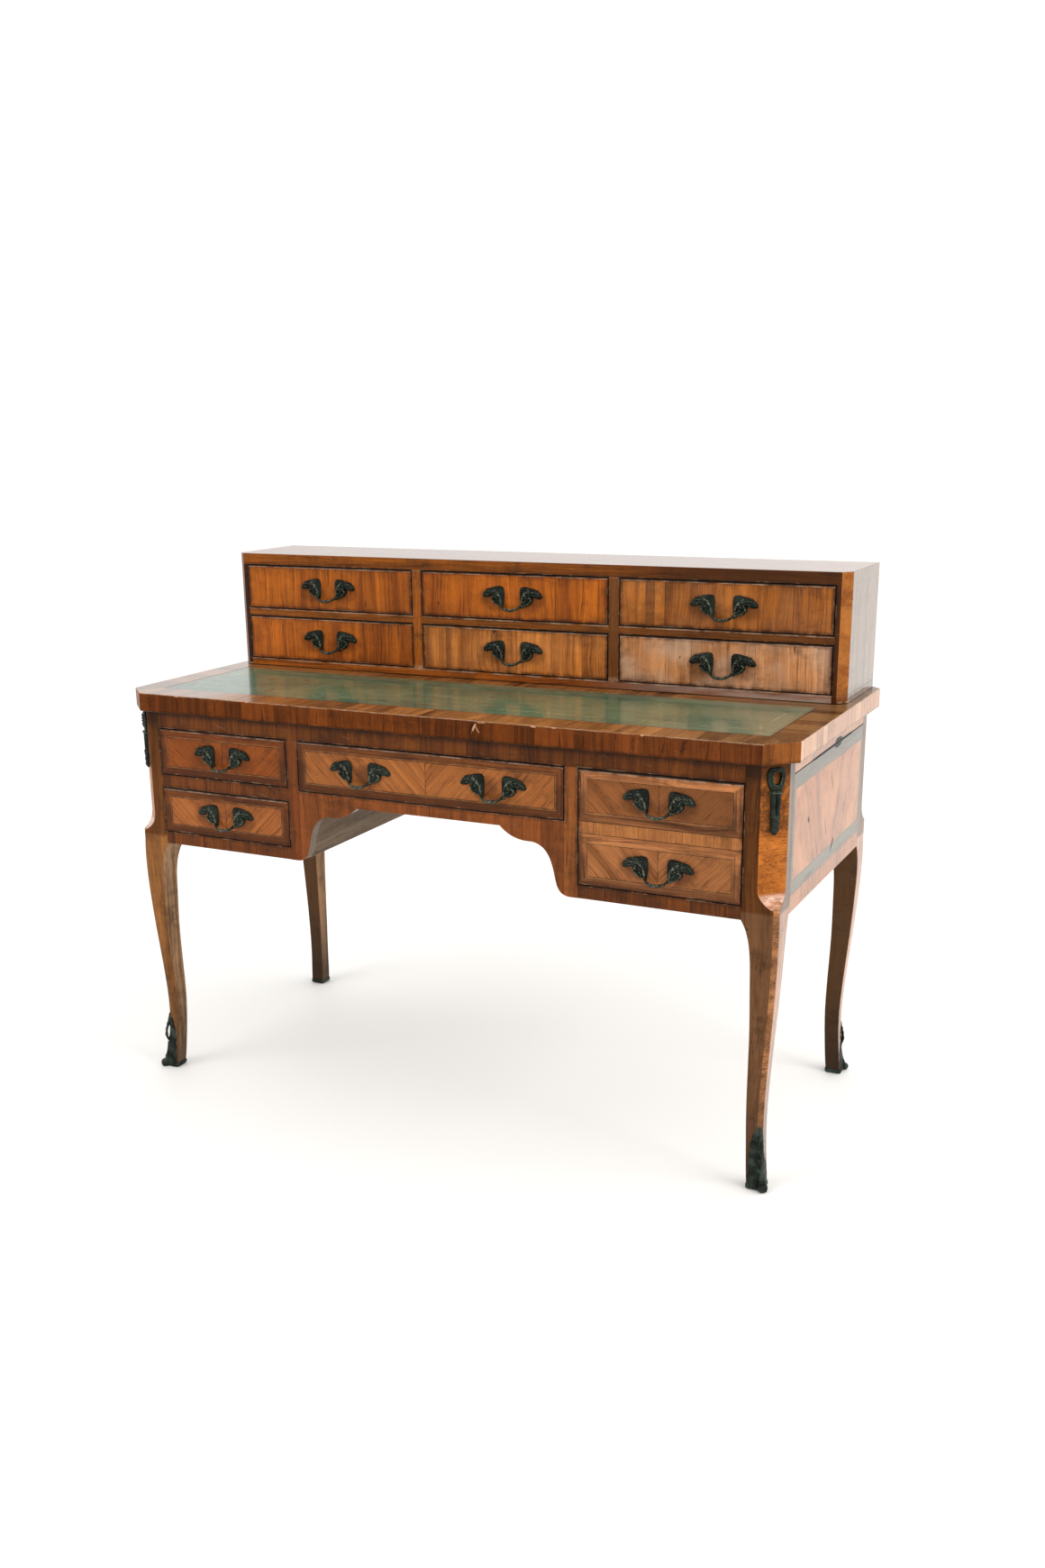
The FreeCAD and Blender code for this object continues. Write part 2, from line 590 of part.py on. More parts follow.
def peg_holes(x, z, face_y, back_y):
    """Tools for the holes of one pull's pegs through a drawer front."""
    tools = []
    foot_z = z - PULL_HEIGHT / 2.0 - PULL_LOW + PEG_RISE
    for side in (-1, 1):
        place = V(x + side * PEG_SPACING / 2.0, face_y - EPS, foot_z)
        tools.append(Part.makeCylinder(PEG_RADIUS + PEG_FIT, back_y - face_y + 2 * EPS, place, V(0, 1, 0)))
    return tools


# ---------------------------------------------------------------- drawers
def make_drawer(name, x0, x1, z0, z1, face_y, end_y, thick, wall, floor, pulls):
    """A drawer in the opening x0..x1, z0..z1: its front, its box and its pulls.

    pulls gives the middle of each pull as (x, z)."""
    back_y = face_y + thick
    front = box(x0 + FRONT_GAP, x1 - FRONT_GAP, face_y, back_y, z0 + FRONT_GAP, z1 - FRONT_GAP)
    rim = [e for e in front.Edges if e.BoundBox.YMax < face_y + EPS]
    front = front.makeFillet(FRONT_ARRIS, rim)
    left = x0 + BOX_PLAY
    right = x1 - BOX_PLAY
    base = z0 + RUN_GAP
    top = z1 - BOX_DROP
    inner_left = left + wall
    inner_right = right - wall
    sides = [
        box(left, inner_left, back_y, end_y, base, top),
        box(inner_right, right, back_y, end_y, base, top),
    ]
    back = box(inner_left, inner_right, end_y - wall, end_y, base, top)
    bottom = box(inner_left, inner_right, back_y, end_y - wall, base, base + floor)
    castings = []
    for x, z in pulls:
        front = front.cut(Part.makeCompound(peg_holes(x, z, face_y, back_y)))
        castings += make_pull(x, z, face_y, back_y)
    save(name + "_front", front)
    save(name + "_box", *sides, back, bottom)
    save(name + ("_pulls" if len(pulls) > 1 else "_pull"), *castings)


def make_small_drawers():
    rows = {"low": (CAB_FLOOR, SHELF_BASE), "top": (SHELF_TOP, CAB_CEILING)}
    for column, (x0, x1) in COLUMNS.items():
        for row, (z0, z1) in rows.items():
            end = CAB_BACK_IN_Y - SMALL_BACK_ROOM
            middle = ((x0 + x1) / 2.0, (z0 + z1) / 2.0)
            make_drawer("cabinet_%s_%s" % (column, row), x0, x1, z0, z1, CAB_FRONT_Y, end,
                        SMALL_FRONT_THICK, SMALL_SIDE, SMALL_BOTTOM, [middle])


def make_large_drawers():
    end = BACK_IN_Y - BOX_BACK_ROOM
    walls = (FRONT_Y, end, FRONT_THICK, BOX_SIDE, BOX_BOTTOM)
    mid_x = (STILE_OUT_X + POST_IN_X) / 2.0
    upper_z = (UPPER_OPEN_BASE + OPEN_TOP) / 2.0
    lower_z = (LOWER_OPEN_BASE + LOWER_OPEN_TOP) / 2.0
    left = (-POST_IN_X, -STILE_OUT_X)
    make_drawer("left_upper", *left, UPPER_OPEN_BASE, OPEN_TOP, *walls, [(-mid_x, upper_z)])
    make_drawer("left_lower", *left, LOWER_OPEN_BASE, LOWER_OPEN_TOP, *walls, [(-mid_x, lower_z)])
    make_drawer("right_deep", STILE_OUT_X, POST_IN_X, LOWER_OPEN_BASE, OPEN_TOP, *walls,
                [(mid_x, lower_z), (mid_x, upper_z)])
    centre_z = (CENTRE_OPEN_BASE + OPEN_TOP) / 2.0
    spread = KNEEHOLE_WIDTH / 4.0
    make_drawer("centre", -KNEE_X, KNEE_X, CENTRE_OPEN_BASE, OPEN_TOP, *walls,
                [(-spread, centre_z), (spread, centre_z)])


# ---------------------------------------------------------------- pendants
def make_chute():
    """Bronze pendant on a front post: a ring with an eye, a collar and a tapered tail.

    It is drawn flat, with u across the cant and z up, and then laid on the right post."""
    ring_r = CHUTE_RING_WIDTH / 2.0
    top = SLAB_BASE - CHUTE_TOP
    crown = top - ring_r
    ring_base = top - CHUTE_RING_HEIGHT
    foot = top - CHUTE_LENGTH
    collar = CHUTE_COLLAR_WIDTH / 2.0
    shaft = CHUTE_SHAFT_TOP / 2.0
    tail = CHUTE_SHAFT_END / 2.0
    ring = Part.Wire([
        Part.Arc(V(ring_r, 0, crown), V(0, 0, top), V(-ring_r, 0, crown)).toShape(),
        Part.makeLine(V(-ring_r, 0, crown), V(-collar, 0, ring_base)),
        Part.makeLine(V(-collar, 0, ring_base), V(collar, 0, ring_base)),
        Part.makeLine(V(collar, 0, ring_base), V(ring_r, 0, crown)),
    ])
    eye_r = CHUTE_EYE_WIDTH / 2.0
    eye_top = top - CHUTE_EYE_TOP
    eye_low = eye_top - CHUTE_EYE_HEIGHT + eye_r
    eye = Part.Wire([
        Part.makeLine(V(eye_r, 0, eye_low), V(eye_r, 0, eye_top)),
        Part.makeLine(V(eye_r, 0, eye_top), V(-eye_r, 0, eye_top)),
        Part.makeLine(V(-eye_r, 0, eye_top), V(-eye_r, 0, eye_low)),
        Part.Arc(V(-eye_r, 0, eye_low), V(0, 0, eye_low - eye_r), V(eye_r, 0, eye_low)).toShape(),
    ])
    neck = ring_base - CHUTE_COLLAR_HEIGHT
    pendant = Part.Wire([
        Part.makeLine(V(shaft, 0, ring_base), V(-shaft, 0, ring_base)),
        Part.makeLine(V(-shaft, 0, ring_base), V(-tail, 0, foot + tail)),
        Part.Arc(V(-tail, 0, foot + tail), V(0, 0, foot), V(tail, 0, foot + tail)).toShape(),
        Part.makeLine(V(tail, 0, foot + tail), V(shaft, 0, ring_base)),
    ])
    out = V(0, -CHUTE_THICK, 0)
    head = Part.Face(ring).extrude(out).cut(Part.Face(eye).extrude(out))
    band = box(-collar, collar, -CHUTE_THICK, 0.0, neck, ring_base)
    tail_piece = Part.Face(pendant).extrude(out)
    chute = head.fuse([band, tail_piece]).removeSplitter()
    chute.rotate(V(0, 0, 0), V(0, 0, 1), 45.0)
    chute.translate(V(SIDE_X - POST_CANT / 2.0, FRONT_Y + POST_CANT / 2.0, 0))
    return chute


os.makedirs("parts", exist_ok=True)
make_desktop()
make_legs()
make_sides()
make_back()
make_front_frame()
make_pedestals()
make_runners()
make_cabinet()
make_small_drawers()
make_large_drawers()
save("chute_mounts", *pair(make_chute()))
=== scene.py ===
import json
import math
import bmesh
import bpy
import numpy as np
from mathutils import Matrix, Vector

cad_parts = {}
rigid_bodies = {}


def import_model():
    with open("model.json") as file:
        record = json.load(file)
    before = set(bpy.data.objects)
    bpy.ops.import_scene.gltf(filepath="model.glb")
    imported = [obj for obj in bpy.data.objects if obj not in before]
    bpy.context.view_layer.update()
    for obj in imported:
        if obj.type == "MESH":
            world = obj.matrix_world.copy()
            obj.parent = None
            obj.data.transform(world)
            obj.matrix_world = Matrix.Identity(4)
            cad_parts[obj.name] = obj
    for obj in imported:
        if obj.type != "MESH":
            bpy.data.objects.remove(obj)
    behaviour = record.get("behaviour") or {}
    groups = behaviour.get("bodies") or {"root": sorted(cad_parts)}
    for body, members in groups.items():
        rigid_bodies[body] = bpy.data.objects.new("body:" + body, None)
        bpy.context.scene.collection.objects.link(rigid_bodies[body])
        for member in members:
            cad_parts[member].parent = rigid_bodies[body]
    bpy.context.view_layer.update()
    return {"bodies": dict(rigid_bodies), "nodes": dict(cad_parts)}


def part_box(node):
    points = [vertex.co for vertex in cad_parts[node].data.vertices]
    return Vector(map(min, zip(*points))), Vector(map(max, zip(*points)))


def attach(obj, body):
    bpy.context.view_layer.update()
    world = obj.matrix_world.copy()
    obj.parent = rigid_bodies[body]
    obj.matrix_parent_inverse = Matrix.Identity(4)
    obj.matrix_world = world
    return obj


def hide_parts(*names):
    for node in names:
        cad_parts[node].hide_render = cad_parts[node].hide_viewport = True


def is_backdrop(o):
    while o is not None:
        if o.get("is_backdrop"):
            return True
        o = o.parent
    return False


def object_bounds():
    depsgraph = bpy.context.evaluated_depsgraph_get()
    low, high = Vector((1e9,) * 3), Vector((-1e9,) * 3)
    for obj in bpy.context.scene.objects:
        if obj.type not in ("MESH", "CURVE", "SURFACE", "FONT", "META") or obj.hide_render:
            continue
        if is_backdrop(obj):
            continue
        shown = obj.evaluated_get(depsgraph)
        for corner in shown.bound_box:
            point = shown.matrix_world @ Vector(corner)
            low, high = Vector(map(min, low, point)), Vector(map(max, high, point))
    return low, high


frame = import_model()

nodes = frame["nodes"]

# ------------------------------------------------------------------ standpoint
# The desk stands alone on a pale studio floor, seen by a standing person from in
# front and to its right. The lens is a long normal one, shifted a little downwards.
EYE = (1.2626, -2.4970, 1.2494)
TURN = 26.37                 # degrees to the left of straight ahead
TILT = -16.68
ROLL = -0.69
LENS = 34.66
SHIFT = (0.0071, 0.0572)


def look(turn, tilt, roll):
    """Camera axes as a matrix: ahead from turn and tilt, then a roll about ahead."""
    yaw, pitch, lean = (math.radians(a) for a in (turn, tilt, roll))
    ahead = Vector((-math.sin(yaw) * math.cos(pitch), math.cos(yaw) * math.cos(pitch), math.sin(pitch)))
    side = Vector((math.cos(yaw), math.sin(yaw), 0.0))
    above = side.cross(ahead)
    right = side * math.cos(lean) + above * math.sin(lean)
    up = above * math.cos(lean) - side * math.sin(lean)
    return Matrix((right, up, -ahead)).transposed()


eye_data = bpy.data.cameras.new("eye")
eye_data.sensor_width = 36.0
eye_data.lens = LENS
eye_data.shift_x, eye_data.shift_y = SHIFT
eye = bpy.data.objects.new("eye", eye_data)
eye.matrix_world = Matrix.Translation(EYE) @ look(TURN, TILT, ROLL).to_4x4()
bpy.context.scene.collection.objects.link(eye)
bpy.context.scene.camera = eye

# ------------------------------------------------------------------ studio
# A white sweep of floor and sky, one wide lamp high on the left in front of the
# desk, and a weaker one on its right.
FLOOR_HALF = 14.0
FLOOR_WHITE = (0.90, 0.90, 0.89, 1.0)
SKY_FRONT = (0.85, 0.85, 0.85, 1.0)
SKY_BACK = (1.40, 1.37, 1.33, 1.0)
BRIGHT_WAY = (0.85, 0.45, 0.28)      # towards the brightest part of the studio


def new_object(name, points, faces, smooth=False):
    """A mesh object at the world origin from arrays of points and lists of faces."""
    mesh = bpy.data.meshes.new(name)
    mesh.from_pydata(np.asarray(points, float).tolist(), [], faces)
    mesh.polygons.foreach_set("use_smooth", np.full(len(mesh.polygons), smooth))
    mesh.update()
    thing = bpy.data.objects.new(name, mesh)
    bpy.context.scene.collection.objects.link(thing)
    return thing


def plain_material(name, colour, roughness):
    """A Principled material and its shader."""
    material = bpy.data.materials.new(name)
    material.use_nodes = True
    shader = material.node_tree.nodes["Principled BSDF"]
    shader.inputs["Base Color"].default_value = colour
    shader.inputs["Roughness"].default_value = roughness
    return material, shader


h = FLOOR_HALF
floor = new_object("floor", [(-h, -h, 0), (h, -h, 0), (h, h, 0), (-h, h, 0)], [(0, 1, 2, 3)])
floor.data.materials.append(plain_material("floor", FLOOR_WHITE, 0.6)[0])
floor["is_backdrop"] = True

sky = bpy.data.worlds.new("sky")
bpy.context.scene.world = sky
sky.use_nodes = True
sky_tree = sky.node_tree
way = sky_tree.nodes.new("ShaderNodeTexCoord").outputs["Generated"]
lean = sky_tree.nodes.new("ShaderNodeVectorMath")
lean.operation = "DOT_PRODUCT"
lean.inputs[1].default_value = BRIGHT_WAY
spread = sky_tree.nodes.new("ShaderNodeMapRange")
spread.inputs["From Min"].default_value = -0.8
spread.inputs["From Max"].default_value = 0.8
shades = sky_tree.nodes.new("ShaderNodeMix")
shades.data_type = "RGBA"
shades.inputs[6].default_value = SKY_FRONT
shades.inputs[7].default_value = SKY_BACK
sky_tree.links.new(way, lean.inputs[0])
sky_tree.links.new(lean.outputs["Value"], spread.inputs["Value"])
sky_tree.links.new(spread.outputs["Result"], shades.inputs[0])
sky_tree.links.new(shades.outputs[2], sky_tree.nodes["Background"].inputs["Color"])
bpy.context.scene.view_settings.view_transform = "Standard"


def lamp(name, place, aim, size, power, colour):
    """A square area lamp at place that points at aim."""
    data = bpy.data.lights.new(name, "AREA")
    data.size = size
    data.energy = power
    data.color = colour
    thing = bpy.data.objects.new(name, data)
    turn = (Vector(aim) - Vector(place)).to_track_quat("-Z", "Y")
    thing.matrix_world = Matrix.Translation(place) @ turn.to_matrix().to_4x4()
    bpy.context.scene.collection.objects.link(thing)


lamp("lamp_left", (-2.6, -3.4, 3.4), (0.0, 0.0, 0.6), 2.6, 60.0, (1.0, 0.98, 0.95))
lamp("lamp_right", (4.2, -0.4, 2.2), (0.5, 0.0, 0.6), 2.4, 80.0, (1.0, 0.97, 0.94))

# ------------------------------------------------------------------ veneer
# All show wood is sawn veneer on a plain carcass, french polished and waxed. The leaves
# run across rails and edges, and along drawer fronts; pores and streaks follow them.
class Value:
    """What a shader node gives at each point of a surface. Arithmetic on it adds Math nodes."""

    def __init__(self, socket):
        self.socket = socket

    __add__ = __radd__ = lambda self, other: calc("ADD", self, other)
    __mul__ = __rmul__ = lambda self, other: calc("MULTIPLY", self, other)
    __sub__ = lambda self, other: calc("SUBTRACT", self, other)
    __rsub__ = lambda self, other: calc("SUBTRACT", other, self)
    __truediv__ = lambda self, other: calc("DIVIDE", self, other)
    __rtruediv__ = lambda self, other: calc("DIVIDE", other, self)
    __lt__ = lambda self, other: calc("LESS_THAN", self, other)
    __gt__ = lambda self, other: calc("GREATER_THAN", self, other)
    __abs__ = lambda self: calc("ABSOLUTE", self)


def tree_of(*values):
    """The node tree that some values are in."""
    return next(value.socket.id_data for value in values if isinstance(value, Value))


def feed(socket, value):
    """A socket's link, if value comes from a node, or else its own number or colour."""
    if isinstance(value, Value):
        socket.id_data.links.new(value.socket, socket)
    else:
        socket.default_value = value


def put(tree, kind, settings=None, **sockets):
    """A shader node with its settings; socket names have _ for a space."""
    made = tree.nodes.new("ShaderNode" + kind)
    for name, value in (settings or {}).items():
        setattr(made, name, value)
    for name, value in sockets.items():
        feed(made.inputs[name.replace("_", " ")], value)
    return made


def calc(operation, *values):
    """One step of arithmetic."""
    made = put(tree_of(*values), "Math", {"operation": operation})
    for socket, value in zip(made.inputs, values):
        feed(socket, value)
    return Value(made.outputs[0])


def held(value):
    """A sum held between 0 and 1."""
    value.socket.node.use_clamp = True
    return value


def smaller(first, *others):
    """The smallest of some values."""
    for other in others:
        first = calc("MINIMUM", first, other)
    return first


def larger(first, *others):
    """The largest of some values."""
    for other in others:
        first = calc("MAXIMUM", first, other)
    return first


def ramp(value, low, high):
    """0 below low, 1 above high, a smooth step between; high may be the lower one."""
    made = put(tree_of(value), "MapRange", {"interpolation_type": "SMOOTHSTEP"}, Value=value,
               From_Min=low, From_Max=high)
    return Value(made.outputs["Result"])


def mixed(kind, values, sockets, outlet):
    """Two values of one kind mixed by a share."""
    made = put(tree_of(*values), "Mix", {"data_type": kind})
    for socket, value in zip(sockets, values):
        feed(made.inputs[socket], value)
    return Value(made.outputs[outlet])


def blend(share, first, second):
    """Two colours mixed by a share."""
    return mixed("RGBA", (share, first, second), (0, 6, 7), 2)


def choose(share, first, second):
    """Two vectors mixed by a share."""
    return mixed("VECTOR", (share, first, second), (0, 4, 5), 1)


def parts(vector):
    """A vector's three numbers."""
    return [Value(socket) for socket in put(tree_of(vector), "SeparateXYZ", Vector=vector).outputs]


def joined(x, y, z):
    """A vector from three numbers."""
    return Value(put(tree_of(x, y, z), "CombineXYZ", X=x, Y=y, Z=z).outputs[0])


def noise(vector, scale, detail=3.0, roughness=0.55):
    """Fractal noise from 0 to 1; scale is one number, or one for each axis."""
    if isinstance(scale, tuple):
        made = put(tree_of(vector), "VectorMath", {"operation": "MULTIPLY"})
        feed(made.inputs[0], vector)
        feed(made.inputs[1], scale)
        vector, scale = Value(made.outputs[0]), 1.0
    made = put(tree_of(vector), "TexNoise", Vector=vector, Scale=scale, Detail=detail,
               Roughness=roughness)
    return Value(made.outputs["Fac"])


def new_group(name, inputs, outputs):
    """An empty node group with named sockets; inputs give kind and first value."""
    group = bpy.data.node_groups.new(name, "ShaderNodeTree")
    for title, (kind, value) in inputs.items():
        socket = group.interface.new_socket(title, in_out="INPUT", socket_type="NodeSocket" + kind)
        if value is not None:
            socket.default_value = value
    for title, kind in outputs.items():
        group.interface.new_socket(title, in_out="OUTPUT", socket_type="NodeSocket" + kind)
    given = {socket.name: Value(socket) for socket in group.nodes.new("NodeGroupInput").outputs}
    return group, given, group.nodes.new("NodeGroupOutput").inputs


def use(group, **sockets):
    """What a node group gives where it is placed in a material."""
    made = put(tree_of(*sockets.values()), "Group", {"node_tree": group}, **sockets)
    return {socket.name: Value(socket) for socket in made.outputs}


def corners(name):
    """Lowest and highest corner of a CAD node."""
    return [Vector(corner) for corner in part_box(name)]


def grain_group():
    """Veneer seen on a position whose x runs across the leaves, y through them and z
    along the grain. Leaf is a leaf's mean width; each has its own tone and figure.
    Share of light wood = half + broad streaks + fine lines + cross figure + leaf tone.
    Veins are narrow dark streaks, and cracks are finer, longer and nearly black."""
    group, given, out = new_group("veneer_grain", {
        "Place": ("Vector", None),
        "Light": ("Color", (0.5, 0.3, 0.15, 1)),
        "Dark": ("Color", (0.2, 0.1, 0.05, 1)),
        "Streaks": ("Float", 1.6),
        "Figure": ("Float", 0.3),
        "Tone": ("Float", 0.3),
        "Leaf": ("Float", 0.06),
        "Seam": ("Float", 0.5),
        "Veins": ("Float", 0.6),
        "Cracks": ("Float", 0.6),
        "Seed": ("Float", 0.0),
    }, {"Color": "Color", "Gloss": "Float", "Relief": "Float"})
    x, y, z = parts(given["Place"])
    uneven = noise(joined(x * 8.0, given["Seed"], 0.0), 1.0, 1.0)
    leaf = (uneven * 0.09 + x) / given["Leaf"]
    number = calc("FLOOR", leaf) + given["Seed"]
    draw = Value(put(group, "TexWhiteNoise", {"noise_dimensions": "1D"}, W=number).outputs["Value"])
    drift = draw * 9.0
    bend = joined(x * 9.0, drift, z * 6.0)
    x2 = noise(bend, 1.0, 2.0) * 0.03 + x
    run = joined(x2, y + drift, z + given["Seed"])
    broad = noise(run, (60.0, 60.0, 3.0), 4.0, 0.6)
    fine = noise(run, (380.0, 380.0, 9.0), 3.0, 0.6)
    bars = noise(run, (14.0, 14.0, 90.0), 2.0)
    pores = noise(run, (1300.0, 1300.0, 60.0), 1.0)
    veins = noise(run, (150.0, 150.0, 7.0), 4.0, 0.7)
    splits = noise(run, (330.0, 330.0, 16.0), 1.0)
    share = (fine - 0.5) * 1.2 + ((broad - 0.5) * given["Streaks"] + 0.5)
    share = (bars - 0.5) * given["Figure"] + share
    share = held((draw - 0.5) * given["Tone"] + share)
    wood = blend(share, given["Dark"], given["Light"])
    vein = ramp(veins, 0.57, 0.7) * given["Veins"]
    wood = blend(vein, wood, blend(0.75, given["Dark"], (0.01, 0.003, 0.001, 1)))
    pore = ramp(pores, 0.6, 0.74)
    seam = calc("FRACT", leaf) < 0.0011 / given["Leaf"]
    crack = ramp(splits, 0.74, 0.78) * given["Cracks"]
    dark = held(pore * 0.35 + (seam * given["Seam"] + crack))
    feed(out["Color"], blend(dark, wood, (0.012, 0.004, 0.002, 1)))
    feed(out["Gloss"], pore * 0.2 + (fine * 0.18 + 0.24))
    relief = crack * -1.0 + (fine * 0.35 + pore * -0.6)
    feed(out["Relief"], seam * -0.8 + relief)
    return group


def wear_group():
    """Rubbed or dirty strip beside an edge: 1 on the edge and 0 at Reach from it, broken
    up by noise, more so the higher Broken is."""
    group, given, out = new_group("edge_wear", {
        "Place": ("Vector", None),
        "Distance": ("Float", 0.0),
        "Reach": ("Float", 0.004),
        "Broken": ("Float", 0.5),
    }, {"Mask": "Float"})
    near = held(1.0 - given["Distance"] / given["Reach"])
    patchy = (noise(given["Place"], 55.0, 4.0, 0.65) - 0.5) * (given["Broken"] * 4.0)
    feed(out["Mask"], held(near + patchy * near))
    return group


def age_group():
    """Marks of long use: Smut is 1 in dirty clouds, Specks in dots and short dark scars,
    and Scratches in thin pale ones that run nearly level."""
    group, given, out = new_group("age", {
        "Place": ("Vector", None),
        "Seed": ("Float", 0.0),
    }, {"Smut": "Float", "Specks": "Float", "Scratches": "Float"})
    x, y, z = parts(given["Place"])
    place = joined(x, y + given["Seed"], z)
    cloud = noise(place, (16.0, 16.0, 24.0), 6.0, 0.68)
    feed(out["Smut"], ramp(cloud, 0.5, 0.7))
    dots = noise(place, 210.0, 2.0, 0.5)
    scars = noise(place, (90.0, 90.0, 420.0), 2.0)
    feed(out["Specks"], larger(ramp(dots, 0.7, 0.75), ramp(scars, 0.73, 0.77)))
    slope = joined(x, y, x * 0.25 + z)
    lines = noise(slope, (22.0, 22.0, 800.0), 1.0)
    feed(out["Scratches"], ramp(lines, 0.77, 0.8))
    return group


GRAIN = grain_group()
WEAR = wear_group()
AGE = age_group()
AMBER = (0.26, 0.085, 0.018, 1)      # polished veneer
UMBER = (0.045, 0.011, 0.002, 1)     # its dark grain, and old dirt
# Near black: cracks, joints and specks, and also painted shadow in the gaps and under the slab.
NEAR_BLACK = (0.007, 0.004, 0.002, 1)
RUBBED = (0.50, 0.33, 0.20, 1)       # polish worn through on an edge
# How far a face has to look along an axis to count as square to it, level, or canted.
SQUARE_ON = (0.75, 0.95)
LEVEL = (0.5, 0.8)
SLANTING = (0.2, 0.5)


def edge_wear(place, distance, reach, broken):
    """Mask of wear or dirt along an edge."""
    return use(WEAR, Place=place, Distance=distance, Reach=reach, Broken=broken)["Mask"]


def dress(material, *names):
    """One material on some CAD nodes."""
    for name in names:
        nodes[name].data.materials.clear()
        nodes[name].data.materials.append(material)


def position(shader):
    """Where a point lies on the piece."""
    return Value(put(shader.id_data, "TexCoord").outputs["Object"])


def outlook(place):
    """The way that the face at a place looks."""
    return Value(put(tree_of(place), "NewGeometry").outputs["True Normal"])


def facing(place):
    """How far the face at a place looks along each axis, without sign."""
    made = put(tree_of(place), "VectorMath", {"operation": "ABSOLUTE"})
    feed(made.inputs[0], outlook(place))
    return parts(Value(made.outputs[0]))


def polished(name, on, front=0.08, side=0.7, top=0.5, bare=1.18):
    """A french polished wood on some CAD nodes: its shader and position. The polish is thin
    and worn on fronts, which are handled, and full on sides and tops; bare is the wood's IOR."""
    material, shader = plain_material(name, AMBER, 0.4)
    dress(material, *on)
    shader.inputs["IOR"].default_value = bare
    shader.inputs["Coat IOR"].default_value = 1.5
    shader.inputs["Coat Roughness"].default_value = 0.14
    place = position(shader)
    face_x, _, face_z = facing(place)
    weight = ramp(face_x, *SQUARE_ON) * (side - front) + front
    feed(shader.inputs["Coat Weight"], ramp(face_z, 0.5, 0.9) * (top - front) + weight)
    return shader, place


def dented(shader, relief, strength, depth):
    """Small relief on a shader's surface."""
    bump = put(shader.id_data, "Bump", Height=relief, Strength=strength, Distance=depth)
    feed(shader.inputs["Normal"], Value(bump.outputs["Normal"]))


def coloured(shader, colour, wood, depth=0.0004):
    """A colour, and the gloss and relief of a wood, into the shader."""
    feed(shader.inputs["Base Color"], colour)
    feed(shader.inputs["Roughness"], wood["Gloss"])
    dented(shader, wood["Relief"], 0.4, depth)


def aged(place, colour, seed=0.0, smut=0.5, specks=0.6, scratches=0.3):
    """A colour with smut, specks and scratches laid over it."""
    marks = use(AGE, Place=place, Seed=seed)
    colour = blend(marks["Smut"] * smut, colour, (0.022, 0.008, 0.003, 1))
    colour = blend(marks["Specks"] * specks, colour, NEAR_BLACK)
    return blend(marks["Scratches"] * scratches, colour, RUBBED)


def soften(width, *names):
    """Rounds the hard edges of some CAD nodes by a bevel of this width."""
    for name in names:
        nodes[name].modifiers.new("weld", "WELD").merge_threshold = 0.00002
        bevel = nodes[name].modifiers.new("arris", "BEVEL")
        bevel.width = width
        bevel.segments = 2
        bevel.limit_method = "ANGLE"
        bevel.angle_limit = math.radians(35.0)
        nodes[name].modifiers.new("faces", "WEIGHTED_NORMAL").keep_sharp = True


# ------------------------------------------------------------------ desktop
# A thick board of plain wood with canted corners, glued on the carcass and veneered all round:
# crossbanded border with mitres on the top, upright grain on the edges. Its top arris is
# rubbed pale and a few chips are missing from the front edge.
SLAB_LOW, SLAB_HIGH = corners("desktop")
# Chips: x, z, half width, half height, slant.
CHIPS = ((-0.517, 0.7702, 0.007, 0.0022, 0), (-0.36, 0.7704, 0.005, 0.0016, 0),
         (0.103, 0.759, 0.0026, 0.0085, 0.5), (0.109, 0.757, 0.0016, 0.007, -0.6),
         (0.118, 0.769, 0.009, 0.0018, 0), (0.213, 0.7695, 0.006, 0.0022, 0),
         (0.25, 0.7702, 0.005, 0.0016, 0), (0.405, 0.77, 0.004, 0.0018, 0))
# Cracks and bruises in the front edge: the same.
BRUISES = ((0.096, 0.756, 0.0025, 0.013, 0.4), (0.474, 0.756, 0.005, 0.014, 0.3),
           (-0.21, 0.752, 0.002, 0.015, 0.1), (0.302, 0.751, 0.002, 0.014, 0.1),
           (0.388, 0.754, 0.003, 0.016, 0), (-0.43, 0.755, 0.002, 0.014, 0),
           (0.44, 0.75, 0.002, 0.012, 0.2), (0.03, 0.752, 0.0015, 0.013, 0),
           (-0.1, 0.757, 0.0015, 0.012, 0.1))


def spots_mask(place, spots):
    """1 inside small rough-edged ellipses on a front; each has x, z, its half sizes, and how
    far it slants to the right per unit of height."""
    x, _, z = parts(place)
    ragged = noise(place, 240.0, 4.0, 0.75) * 4.4
    masks = []
    for spot_x, spot_z, half_x, half_z, slant in spots:
        rise = z - spot_z
        across = (rise * -slant + (x - spot_x)) / half_x
        above = rise / half_z
        masks.append(ramp(across * across + above * above + ragged, 3.2, 2.6))
    return larger(*masks)


shader, place = polished("desktop_veneer", ["desktop"], 0.02, 0.8, 0.45, bare=1.12)
x, y, z = parts(place)
face_x, face_y, face_z = facing(place)
on_top = ramp(face_z, *LEVEL)
on_side = ramp(face_x, *SQUARE_ON)
canted = ramp(face_x, *SLANTING) * ramp(face_y, *SLANTING)
from_side = SLAB_HIGH.x - abs(x)
from_front = y - SLAB_LOW.y
side_border = from_side * 1.2 < from_front
top_place = choose(side_border, joined(x, z, y), joined(y, z, x))
edge_place = joined(calc("SIGN", x) * y + x, y, z)      # its x grows past both corners
edge_light = blend(ramp(x, 0.1, 0.5), (0.19, 0.046, 0.006, 1), (0.19, 0.05, 0.011, 1))
border = blend(ramp(x, 0.4, 0.55), (0.41, 0.165, 0.045, 1), (0.3, 0.145, 0.05, 1))
light = blend(on_top, edge_light, border)
light = blend(canted, light, (0.31, 0.1, 0.021, 1))
# Painted reflection: the ends of the top are painted paler than its front edge.
light = blend(on_side, light, (0.6, 0.33, 0.185, 1))
dark = blend(on_side, UMBER, (0.24, 0.105, 0.055, 1))
